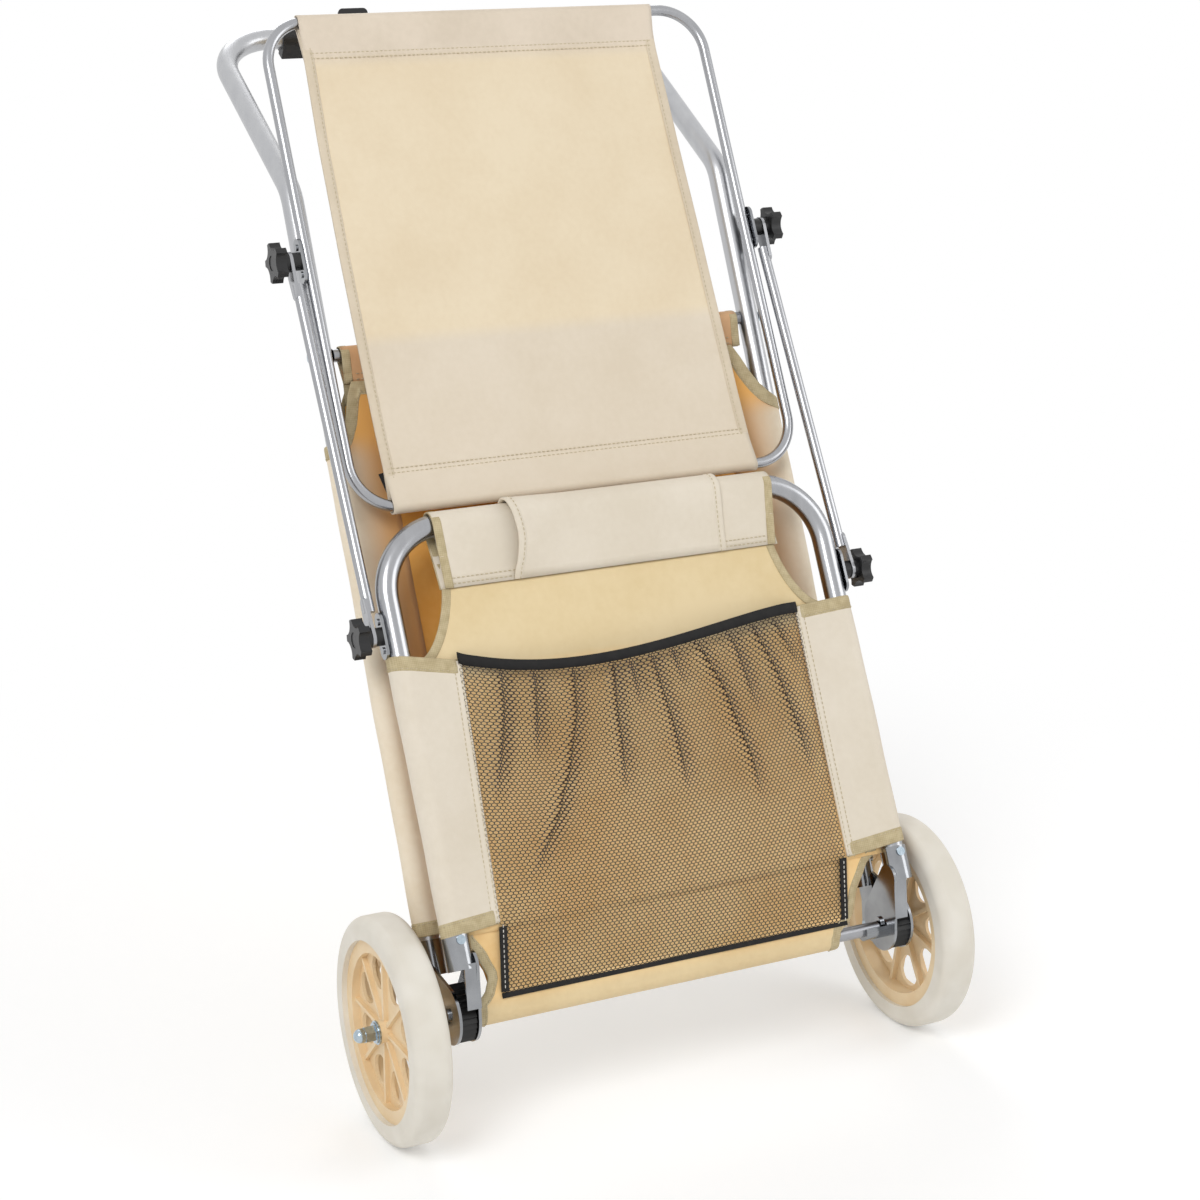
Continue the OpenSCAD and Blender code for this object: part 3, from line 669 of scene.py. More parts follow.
@dataclass(frozen=True)
class LeanFrame:
    """Upright coordinates of a tube frame that leans back about the hinge axis."""

    lean: float
    pivot_y: float
    pivot_z: float

    def turn(self, x: float, y: float, z: float) -> Vector:
        """A direction of the leaning frame, in the row frame."""
        c, s = math.cos(math.radians(self.lean)), math.sin(math.radians(self.lean))
        return Vector((x, y * c + z * s, z * c - y * s))

    def at(self, x: float, y: float, z: float) -> Vector:
        """A point of the leaning frame, in millimetres, as a row-frame point in metres."""
        return (self.turn(x, y, z) + Vector((0.0, self.pivot_y, self.pivot_z))) * MM


def hinge_centre() -> tuple[float, float]:
    """Depth and height of the hinge axis, in millimetres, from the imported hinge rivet."""
    low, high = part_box("hinge_rivet_right")
    return (low.y + high.y) / 2 / MM, (low.z + high.z) / 2 / MM


BACK = LeanFrame(BACK_LEAN, *hinge_centre())
SEAT = LeanFrame(SEAT_LEAN, *hinge_centre())


def within(value: float) -> float:
    """The value, kept between 0 and 1."""
    return min(max(value, 0.0), 1.0)


def smooth(low: float, high: float, value: float) -> float:
    """Runs from 0 to 1 with level ends as value goes from low to high."""
    t = within((value - low) / (high - low))
    return t * t * (3 - 2 * t)


def bell(value: float, centre: float, width: float) -> float:
    """A soft hump of height 1."""
    return math.exp(-((value - centre) / width) ** 2)


def spread(low: float, high: float, count: int) -> list[float]:
    """count + 1 even steps from low to high."""
    return [low + (high - low) * i / count for i in range(count + 1)]


def beside(items: Sequence[Item], i: int) -> tuple[Item, Item]:
    """The items before and after item i; at an end, item i stands in."""
    return items[max(i - 1, 0)], items[min(i + 1, len(items) - 1)]


def side_of(sign: int) -> int:
    """Where a pair holds the value of a side: 0 for the left (-1) and 1 for the right (1)."""
    return 0 if sign < 0 else 1


class Bundle:
    """Vertices and faces of one piece, gathered before its mesh is made."""

    def __init__(self) -> None:
        """Starts empty."""
        self.points: list[Vector] = []
        self.faces: list[tuple[int, ...]] = []

    def grid(self, rows: Sequence[Sequence[Vector]], ring: bool = False) -> None:
        """Adds a surface through rows of points.

        Args:
            rows: The rows, all of one length.
            ring: Whether each row closes on itself.
        """
        base, wide = len(self.points), len(rows[0])
        for row in rows:
            self.points.extend(row)
        for i in range(len(rows) - 1):
            for j in range(wide if ring else wide - 1):
                a, b = base + i * wide + j, base + i * wide + (j + 1) % wide
                self.faces.append((a, b, b + wide, a + wide))

    def sweep(self, rings: Sequence[Sequence[Vector]]) -> None:
        """Adds a capped solid through rings of points, all of one length."""
        base, wide = len(self.points), len(rings[0])
        self.grid(rings, ring=True)
        last = base + (len(rings) - 1) * wide
        self.faces.append(tuple(base + j for j in reversed(range(wide))))
        self.faces.append(tuple(last + j for j in range(wide)))

    def trim(self, path: Sequence[Station], outline: Corners) -> None:
        """Adds a solid of one outline along a path.

        Args:
            path: Stations with place, normal and way into the cloth.
            outline: Its corners, as distances into the cloth and along the normal.
        """
        self.sweep([[p + (w * a + n * b) * MM for a, b in outline] for p, n, w in path])

    def make(self, name: str, finish: Finish, body: str, rounded: bool = True) -> bpy.types.Object:
        """Makes the mesh object, dresses it and lets it ride.

        Args:
            name: The piece's name.
            finish: One of the finishes above.
            body: The CAD body it moves with.
            rounded: Whether its shading is smooth.

        Returns:
            The new object.
        """
        mesh = bpy.data.meshes.new(name)
        mesh.from_pydata([tuple(p) for p in self.points], [], self.faces)
        mesh.validate()
        mesh.polygons.foreach_set("use_smooth", [rounded] * len(mesh.polygons))
        mesh.materials.append(FINISHES.of(finish))
        made = bpy.data.objects.new(name, mesh)
        bpy.context.scene.collection.objects.link(made)
        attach(made, body)
        LOG.info("%s: %d faces on %s", name, len(mesh.polygons), body)
        return made


def thicken(piece: bpy.types.Object, thickness: float,
            inner: Finish | None = None) -> bpy.types.Object:
    """Gives a sheet its thickness.

    Args:
        piece: The sheet.
        thickness: Its thickness in millimetres.
        inner: Another finish for its other face.

    Returns:
        The sheet.
    """
    solid = piece.modifiers.new("thickness", "SOLIDIFY")
    solid.thickness = thickness * MM
    solid.offset = 0.0
    if inner is not None:
        piece.data.materials.append(FINISHES.of(inner))
        solid.material_offset = 1
    return piece


def tree_of(*pieces: bpy.types.Object) -> BVHTree:
    """A ray-casting tree of finished pieces, modifiers included.

    Args:
        *pieces: The pieces.

    Returns:
        The tree, in the row frame.
    """
    points, faces = [], []
    graph = bpy.context.evaluated_depsgraph_get()
    for piece in pieces:
        seen = piece.evaluated_get(graph)
        mesh = seen.to_mesh()
        base = len(points)
        points.extend(seen.matrix_world @ v.co for v in mesh.vertices)
        faces.extend(tuple(base + i for i in p.vertices) for p in mesh.polygons)
        seen.to_mesh_clear()
    return BVHTree.FromPolygons(points, faces)


SAME_PLACE = 1e-6      # stations no further apart than this are one


def walk(path: Sequence[Station], step: float) -> list[tuple[Vector, Vector, Vector, Vector]]:
    """Even steps along a path.

    Args:
        path: Stations with place, normal and way into the cloth.
        step: The step in millimetres.

    Returns:
        For each step its place, normal, way in and direction of travel.
    """
    out, left = [], 0.0
    for (p, n, w), (q, m, v) in zip(path, path[1:]):
        run = (q - p).length / MM
        if run < SAME_PLACE:
            continue
        way = (q - p).normalized()
        at = left
        while at < run:
            t = at / run
            out.append((p.lerp(q, t), n.lerp(m, t).normalized(), w.lerp(v, t).normalized(), way))
            at += step
        left = at - run
    return out


class Needle:
    """Sews: gathers the stitches of one thread colour on one body."""

    LENGTH, GAP, WIDE, HIGH = 2.9, 1.5, 0.9, 0.45
    # A stitch dips into the cloth at its ends: share of its length, share of its thickness.
    DIP: Corners = ((-0.5, 0.25), (-0.34, 0.9), (0.0, 1.0), (0.34, 0.9), (0.5, 0.25))
    # Its section, in shares of half its width and of its height.
    SECTION: Corners = ((-1, -0.6), (1, -0.6), (0.6, 0.8), (-0.6, 0.8))

    def __init__(self) -> None:
        """Starts with no stitches."""
        self.bundle = Bundle()

    def run(self, path: Sequence[Station], lift: float = 0.6, inset: float = 0.0) -> None:
        """Sews one line of stitches along a path.

        Args:
            path: Stations with place, normal and way into the cloth.
            lift: Height of the thread over the path.
            inset: How far into the cloth the line lies.
        """
        for p, n, w, way in walk(path, self.LENGTH + self.GAP):
            side = n.cross(way).normalized()
            centre = p + (n * lift + w * inset) * MM
            rings = []
            for along, size in self.DIP:
                c = centre + way * (along * self.LENGTH * MM)
                rings.append([
                    c + side * (a * self.WIDE / 2 * size * MM) + n * (b * self.HIGH * size * MM)
                    for a, b in self.SECTION
                ])
            self.bundle.sweep(rings)

    def finish(self, name: str, thread: SpunThread, body: str) -> bpy.types.Object:
        """Cuts the thread: makes the piece."""
        return self.bundle.make(name, thread, body)


class Binder:
    """Binds raw edges with folded tape, gathered into one piece."""

    def __init__(self, width: float, thick: float = 0.9) -> None:
        """Takes the width of the tape on each face and how far it stands off the cloth."""
        self.width, self.thick = width, thick
        self.bundle = Bundle()

    def bind(self, path: Sequence[Station]) -> None:
        """Folds tape over one edge.

        Args:
            path: Stations on the edge, with normal and way into the cloth.
        """
        w, h = self.width, self.thick
        face = ((w, h * 0.55), (w - 0.7, h), (w * 0.5, h * 1.1), (0.5, h), (-0.8, h * 0.55))
        other = tuple((a, -b) for a, b in reversed(face))
        self.bundle.trim(path, (*face, (-1.1, 0), *other))


def loop_round(radius: float, reach: float, gap: float,
               steps: int = 22) -> list[tuple[float, float]]:
    """Section of cloth that runs from a seam round a bar and back to the seam.

    Args:
        radius: Radius of the cloth round the bar.
        reach: Distance of the seam from the bar's axis.
        gap: Distance between the two layers at the seam.
        steps: Steps round the bar.

    Returns:
        (forward, out) pairs: forward is square to the cloth, out points from seam to bar.
    """
    lay = math.acos(radius / reach)
    half, wide, rise = gap / 2, radius * math.sin(lay), reach - radius * math.cos(lay)
    layer = [(half + (wide - half) * t ** 1.15, -reach + rise * t) for t in spread(0, 1, 7)[:-1]]
    bend = [(radius * math.sin(turn), -radius * math.cos(turn))
            for turn in spread(lay, 2 * math.pi - lay, steps)]
    return layer + bend + [(-forward, out) for forward, out in reversed(layer)]


# ---- canopy -----------------------------------------------------------------------------

def table(rows: Sequence[tuple[float, ...]], at: float, column: int) -> float:
    """Reads a column of a table between its rows, which rise in their first column.

    Between two rows the value runs nearly straight, a little rounded at the rows.

    Args:
        rows: The table's rows.
        at: Where it is read, in the first column's measure.
        column: Which column is read.

    Returns:
        The column's value.
    """
    low = rows[0]
    for high in rows[1:]:
        if at <= high[0]:
            straight = within((at - low[0]) / (high[0] - low[0]))
            t = smooth(low[0], high[0], at) * 0.35 + 0.65 * straight
            return low[column] + (high[column] - low[column]) * t
        low = high
    return low[column]


@dataclass
class Canopy:
    """Sun canopy: one hemmed cloth held taut between the two bars of its tube."""

    # height over the canopy's middle, left edge, right edge: the cloth slid along its bars
    edges: tuple[tuple[float, float, float], ...] = (
        (-234.0, -188.0, 175.0), (-150.0, -189.5, 172.5), (0.0, -190.0, 170.5),
        (100.0, -189.0, 168.0), (190.0, -186.0, 166.5), (234.0, -186.5, 169.5))
    half_height: float = 226.5
    forward: float = 11.0
    centre: float = 665.36
    bar_radius: float = 5.9
    hem_top: float = 38.0
    hem_bottom: float = 36.0
    hem_gap: float = 1.6         # between the two layers of a hem at its seam
    side_fold: float = 9.0
    tab_drop: float = 7.0        # the cloth hides the tab's upper part
    # (left, back) of the strap tab's loop, from the cloth round and back to it
    tab_loop: Corners = ((-14.0, 3.4), (-7.0, 3.6), (-2.5, 4.2), (-0.8, 6.0), (-1.4, 8.4),
                         (-4.5, 9.4), (-14.0, 8.6))
    tab_half: float = 10.0
    tab_thick: float = 0.7       # half the webbing's thickness
    body: str = "canopy"

    def sides(self, z: float) -> tuple[float, float]:
        """The cloth's left and right edge at a height over its middle."""
        return table(self.edges, z, 1), table(self.edges, z, 2)

    def across(self, x: float, z: float) -> float:
        """Place across the cloth: -1 at its left edge and 1 at its right edge."""
        left, right = self.sides(z)
        return (2 * x - left - right) / (right - left)

    def wave(self, x: float, z: float) -> float:
        """How far the taut cloth stands forward of its plane.

        Args:
            x: Place along the bars.
            z: Height over the cloth's middle.

        Returns:
            The distance, less than 0 where the cloth lies behind its plane.
        """
        across, along = self.across(x, z), z / self.half_height
        belly = -2.2 * (1 - across ** 2) * (1 - along ** 2)
        pull = 0.9 * math.sin(5.2 * across + 2.0 * along) * (1 - along ** 2)
        flute = 0.5 * math.sin(x / 17.0) * (smooth(0.55, 0.95, -along) + smooth(0.6, 0.97, along))
        return belly + pull + flute * (1 - min(abs(along), 1.0) ** 8)

    def point(self, x: float, forward: float, z: float) -> Vector:
        """A place on the canopy, forward being square to it on the load side."""
        return BACK.at(x, -self.forward - forward, self.centre + z)

    def profile(self) -> list[tuple[float, float]]:
        """Section of the cloth from the end of its bottom hem to the end of its top hem.

        Returns:
            (forward, height over the middle) of each row of the cloth.
        """
        top = loop_round(self.bar_radius, self.hem_top, self.hem_gap)
        bottom = loop_round(self.bar_radius, self.hem_bottom, self.hem_gap)
        made = [(f, -self.half_height - o) for f, o in reversed(bottom)]
        low, high = -self.half_height + self.hem_bottom, self.half_height - self.hem_top
        made += [(self.hem_gap / 2, z) for z in spread(low, high, 46)[1:-1]]
        return made + [(f, self.half_height + o) for f, o in top]

    def row(self, f: float, z: float) -> list[Vector]:
        """One row of the cloth from its left edge to its right edge."""
        free = 1.0 if abs(z) < self.half_height - 34 else 0.15      # the hems hardly wave
        return [self.point(x, f + self.wave(x, z) * free, z) for x in spread(*self.sides(z), 72)]

    def edge(self, sign: int, ends: tuple[float, float]) -> list[Station]:
        """Stations up one side of the cloth between two heights.

        Args:
            sign: -1 for the left side and 1 for the right.
            ends: The heights over the cloth's middle.

        Returns:
            The stations.
        """
        path = []
        for z in spread(*ends, 40):
            x = self.sides(z)[side_of(sign)]
            path.append((self.point(x, 1.3 + self.wave(x, z), z), BACK.turn(0, -1, 0),
                         Vector((-sign, 0, 0))))
        return path

    def build(self) -> bpy.types.Object:
        """Builds the cloth, its side folds and its stitching.

        Returns:
            The cloth.
        """
        cloth = Bundle()
        cloth.grid([self.row(f, z) for f, z in self.profile()])
        piece = thicken(cloth.make("canopy_cloth", CANOPY_CLOTH, self.body), 0.8)
        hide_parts("canopy_fabric")
        self.sew()
        return piece

    def sew(self) -> None:
        """Turns in the sides and sews the hems."""
        folds, needle = Bundle(), Needle()
        fold = ((-0.7, -0.5), (-0.7, 0.4), (0.2, 0.8), (self.side_fold - 0.4, 0.7),
                (self.side_fold, 0.1), (self.side_fold, -0.5))
        for sign in (-1, 1):
            path = self.edge(sign, (-self.half_height + 8, self.half_height - 8))
            folds.trim(path, fold)
            needle.run(path, 0.7, self.side_fold - 2.0)
        folds.make("canopy_side_folds", HEM_CLOTH, self.body)
        normal, way = BACK.turn(0, -1, 0), BACK.turn(0, 0, 1)
        top_seam = self.half_height - self.hem_top
        low_seam = -self.half_height + self.hem_bottom
        for z in (top_seam + 2, top_seam + 7, low_seam - 2, low_seam - 6):
            left, right = self.sides(z)
            needle.run([(self.point(x, 1.5 + 0.15 * self.wave(x, z), z), normal, way)
                        for x in spread(left + 4, right - 4, 40)], 0.5)
        needle.finish("canopy_stitches", THREAD, self.body)

    def strap(self, cloth: bpy.types.Object) -> None:
        """Hangs the short webbing tab behind the cloth's lower left edge.

        Args:
            cloth: The canopy's cloth, as finished.
        """
        out, back, up = Vector((-1, 0, 0)), BACK.turn(0, 1, 0), BACK.turn(0, 0, 1)
        at = EYE.on("strap_tab", tree_of(cloth)) - up * self.tab_drop * MM
        side = (0.25 * out + up).normalized()
        tab, rings = Bundle(), []
        for i, (a, b) in enumerate(self.tab_loop):
            before, after = beside(self.tab_loop, i)
            way = (out * (after[0] - before[0]) + back * (after[1] - before[1])).normalized()
            thick = way.cross(side).normalized() * self.tab_thick
            centre = at + (out * a + back * b) * MM
            rings.append([centre + (side * s * self.tab_half + thick * t) * MM
                          for s, t in ((-1, -1), (1, -1), (1, 1), (-1, 1))])
        tab.sweep(rings)
        tab.make("canopy_strap_tab", WEBBING, self.body, rounded=False)


# ---- the two sewn panels -------------------------------------------------------------------

@dataclass
class SewnPanel:
    """A panel of the lounger's cloth: sleeves on the side tubes, a roll round the top bar.

    Heights are measured from the hinge axis along the side tubes. A pair of numbers is for
    the left and the right side.
    """

    name: str
    leaning: LeanFrame
    body: str
    plane: float                  # y of the side tubes' plane
    sleeve: tuple[float, float]   # middle heights of the sleeves' ends
    bar_z: float
    bar_r: float
    hem: float
    roll_half: tuple[float, float]
    finish: Finish
    sleeve_finish: Finish
    roll_finish: Finish
    inner: Finish | None
    load_side: int                # -1: the seams face the load, 1: they face away
    crease: float
    cut_start: tuple[float, float]     # half width at which the cut-outs begin
    cut_power: tuple[float, float]     # how full the cut-outs' curves are
    taper: float = 4.0            # how much narrower the roll is at its hem
    tube_x: float = 216.0
    tube_r: float = 10.0
    ease: float = 1.3             # of a sleeve round its tube
    seam_fold: Corners = ((-1.2, -1.0), (-1.2, 0.3), (-0.4, 0.9), (7.6, 0.75), (8.4, 0.1),
                          (8.4, -1.0))

    def point(self, x: float, forward: float, z: float) -> Vector:
        """A place on the panel; forward is towards the load."""
        return self.leaning.at(x, self.plane - forward, z)

    def normal(self) -> Vector:
        """The panel's normal towards the load."""
        return self.leaning.turn(0, -1, 0)

    def seam(self, sign: int, t: float) -> float:
        """Half width at which a sleeve is sewn: t is 0 at its bottom and 1 at its top."""
        return 170.0

    def top_edge(self, x: float, sign: int) -> float:
        """Height of a sleeve's top edge at a half width."""
        return self.sleeve[1]

    def low_edge(self, x: float, sign: int) -> float:
        """Height of a sleeve's bottom edge at a half width."""
        return self.sleeve[0]

    def creases(self, x: float, z: float) -> float:
        """How far the cloth stands forward of its plane.

        Args:
            x: Place across the panel.
            z: Height over the hinge axis.

        Returns:
            The distance.
        """
        swells = math.sin(x / 61.0 + z / 97.0) * 0.9
        under_roll = 1.3 * bell(z, self.sleeve[1] - 20 - 0.25 * abs(x), 26) * math.sin(x / 43.0)
        at_sides = 0.8 * math.sin(z / 23.0 + abs(x) / 39.0) * smooth(120, 200, abs(x))
        return self.crease * (swells + under_roll + at_sides)

    def hem_seam(self) -> float:
        """Height at which the roll's hem is sewn."""
        return self.bar_z - self.hem

    def flat_half(self) -> float:
        """Half width of the flat cloth, which ends beside the side tubes."""
        return self.tube_x - self.tube_r - 1.5

    def cut_end(self) -> float:
        """Half width at which the body's cut-outs end."""
        return self.flat_half()

    def cut_foot(self) -> float:
        """Height at which the body's cut-outs end."""
        return self.sleeve[1] - 2

    def cut_height(self, turn: float, sign: int) -> float:
        """Height of a cut-out's curve, which runs through a quarter turn."""
        top = self.hem_seam()
        return top - (top - self.cut_foot()) * math.sin(turn) ** self.cut_power[side_of(sign)]

    def scoop(self, sign: int) -> list[tuple[float, float]]:
        """Curve of a cut-out, as half width and height, from the roll down to the sleeve."""
        start, end = self.cut_start[side_of(sign)], self.cut_end()
        return [(start + (end - start) * (1 - math.cos(turn)), self.cut_height(turn, sign))
                for turn in spread(0, math.pi / 2, 14)]

    def body_rows(self) -> list[list[Vector]]:
        """Rows of the flat cloth from the bend up to the hem's seam.

        Returns:
            The rows, each from left to right.
        """
        top, limit = self.hem_seam(), self.flat_half()
        spans = [(z, limit, limit) for z in spread(self.sleeve[0] - 3, self.sleeve[1] - 8, 30)]
        spans += [(a[1], min(a[0], limit), min(b[0], limit))
                  for a, b in zip(reversed(self.scoop(-1)), reversed(self.scoop(1)))]
        rows = []
        for z, left, right in spans:
            fade = 1 - smooth(top - 20, top, z)
            rows.append([self.point(x, self.creases(x, z) * fade, z)
                         for x in spread(-left, right, 56)])
        return rows

    def taper_at(self, forward: float, out: float) -> float:
        """How much narrower the roll is at a place of its section."""
        return self.taper * (-out / self.hem) if out < 0 and forward > 0 else 0.0

    def roll_rows(self) -> list[list[Vector]]:
        """Rows of the hem that wraps the top bar and ends on the body's front.

        Returns:
            The rows, each from left to right.
        """
        rows = []
        section = loop_round(self.bar_r, self.hem, 0.4)
        left, right = self.roll_half
        for i, (f, out) in enumerate(reversed(section)):
            lift = 1.6 * smooth(0.5, 1.0, i / (len(section) - 1))
            taper = self.taper_at(f, out)
            rows.append([self.point(x, f + lift, self.bar_z + out)
                         for x in spread(-left + taper, right - taper, 56)])
        return rows

    def sleeve_ring(self, t: float, sign: int) -> list[tuple[Vector, float]]:
        """Places round one sleeve from seam to seam.

        Args:
            t: How high up the sleeve, 0 at its bottom edge and 1 at its top edge.
            sign: -1 for the left side and 1 for the right.

        Returns:
            Each place with its half width on the panel.
        """
        seam = self.seam(sign, t)
        made = []
        for f, out in loop_round(self.tube_r + self.ease, self.tube_x - seam, 3.0, 26):
            x, face = self.tube_x + out, 1 if f > 0 else -1
            low, high = self.low_edge(x, sign), self.top_edge(x, sign)
            z = low + (high - low) * t
            slack = 0.5 * math.sin(z / 31.0 + sign) + 0.3 * math.sin(z / 13.0)
            free = smooth(0, 12, x - seam)
            made.append((self.point(sign * (x + slack * 0.4 * free),
                                    f + 0.5 * slack * self.crease * face * free, z), x))
        return made

    def end_path(self, t: float, sign: int, up: int, least: float = 0.0) -> list[Station]:
        """Stations round the end of a sleeve.

        Args:
            t: 0 for the bottom end and 1 for the top end.
            sign: -1 for the left side and 1 for the right.
            up: 1 if the cloth lies above the end and -1 if it lies below.
            least: The half width from which the end is followed.

        Returns:
            The stations.
        """
        ring = [p for p, x in self.sleeve_ring(t, sign) if x >= least]
        axis = self.point(sign * self.tube_x, 0, 0)
        along = self.leaning.turn(0, 0, 1)
        path = []
        for i, p in enumerate(ring):
            before, after = beside(ring, i)
            way = (after - before).normalized()
            out = p - axis
            normal = along.cross(way).normalized()
            if normal.dot(out - along * out.dot(along)) < 0:
                normal = -normal
            into = normal.cross(way).normalized()
            if into.dot(along) * up < 0:
                into = -into
            path.append((p, normal, into))
        return path

    def build(self) -> list[bpy.types.Object]:
        """Builds the body cloth, sleeves, bindings and stitching.

        Returns:
            The body cloth, the roll and the sleeves.
        """
        cloth = Bundle()
        cloth.grid(self.body_rows())
        main = thicken(cloth.make(f"{self.name}_cloth", self.finish, self.body), 0.9, self.inner)
        roll = Bundle()
        roll.grid(self.roll_rows())
        hem = thicken(roll.make(f"{self.name}_roll", self.roll_finish, self.body), 1.0)
        sleeves = Bundle()
        for sign in (-1, 1):
            sleeves.grid([[p for p, _ in self.sleeve_ring(t, sign)] for t in spread(0, 1, 48)])
        sleeve = thicken(sleeves.make(f"{self.name}_sleeves", self.sleeve_finish, self.body), 0.9)
        self.bind()
        self.sew()
        return [main, hem, sleeve]

    def roll_end(self, sign: int) -> list[Station]:
        """Stations round one end of the roll.

        Args:
            sign: -1 for the left side and 1 for the right.

        Returns:
            The stations, with the way into the cloth along the roll.
        """
        half = self.roll_half[side_of(sign)]
        path = []
        section = loop_round(self.bar_r, self.hem, 1.6)
        for i, (f, out) in enumerate(section):
            a, b = beside(section, i)
            n = self.leaning.turn(0, -(a[1] - b[1]), (a[0] - b[0])).normalized()
            if n.dot(self.leaning.turn(0, -f, out + 8)) < 0:
                n = -n
            lift = 1.8 * smooth(0.5, 1.0, 1 - i / (len(section) - 1))
            path.append((self.point(sign * (half - self.taper_at(f, out)), f + lift,
                                    self.bar_z + out), n, Vector((-sign, 0, 0))))
        return path

    def cut_path(self, sign: int) -> list[Station]:
        """Stations down one cut-out of the body.

        Args:
            sign: -1 for the left side and 1 for the right.

        Returns:
            The stations, from the roll down.
        """
        curve = self.scoop(sign)
        path = []
        for i, (x, z) in enumerate(curve):
            a, b = beside(curve, i)
            way = Vector((-(a[1] - b[1]), 0, a[0] - b[0])).normalized()
            path.append((self.point(sign * x, 0.2 + self.creases(sign * x, z) * 0.4, z),
                         self.normal(), self.leaning.turn(sign * way.x, 0, way.z)))
        return path

    def bind(self) -> None:
        """Binds the sleeve ends, the roll's ends and the cut-outs with tape."""
        wide, narrow = Binder(11.5), Binder(7.0)
        for sign in (-1, 1):
            wide.bind(self.end_path(1.0, sign, -1, self.seam(sign, 1.0)))
            wide.bind(self.end_path(0.0, sign, 1))
            narrow.bind(self.cut_path(sign))
            narrow.bind(self.roll_end(sign))
        narrow.bundle.make(f"{self.name}_cut_bindings", TAPE, self.body)
        wide.bundle.make(f"{self.name}_sleeve_bindings", TAPE, self.body)

    def sew(self) -> None:
        """Sews the side seams, the hem and the bindings."""
        needle, fold = Needle(), Bundle()
        normal = self.normal() * -self.load_side
        seam_end = 0 if self.load_side < 0 else -1      # of a sleeve's ring
        for sign in (-1, 1):
            path = []
            for t in spread(0.0, 1.0, 40):
                seam = self.sleeve_ring(t, sign)[seam_end][0]
                path.append((seam + normal * 0.7 * MM, normal, Vector((sign, 0, 0))))
            fold.trim(path, self.seam_fold)
            for inset in (1.0, 6.2):
                needle.run(path, 0.9, inset)
            needle.run(self.end_path(1.0, sign, -1, self.cut_start[0] - 30), 1.1, 9.6)
            needle.run(self.end_path(0.0, sign, 1), 1.1, 9.6)
        fold.make(f"{self.name}_seam_folds", self.sleeve_finish, self.body)
        left, right = self.roll_half
        for depth in (self.hem - 3, self.hem - 8):
            for face in (1, -1):
                run = (self.bar_r * 0.9) * (1 - depth / self.hem)
                off = face * (run + 0.9) + (1.6 if face > 0 else 0)
                needle.run([(self.point(x, off, self.bar_z - depth), self.normal() * face,
                             Vector((0, 0, 1))) for x in spread(-left + 12, right - 12, 30)], 0.4)
        needle.finish(f"{self.name}_stitches", THREAD, self.body)


Slant = tuple[float, float, float, float]     # an edge: (half width, height) at its two ends


def slant_height(slant: Slant, x: float) -> float:
    """Height of a slanting edge at a half width."""
    a, za, b, zb = slant
    return za + (zb - za) * (x - a) / (b - a)


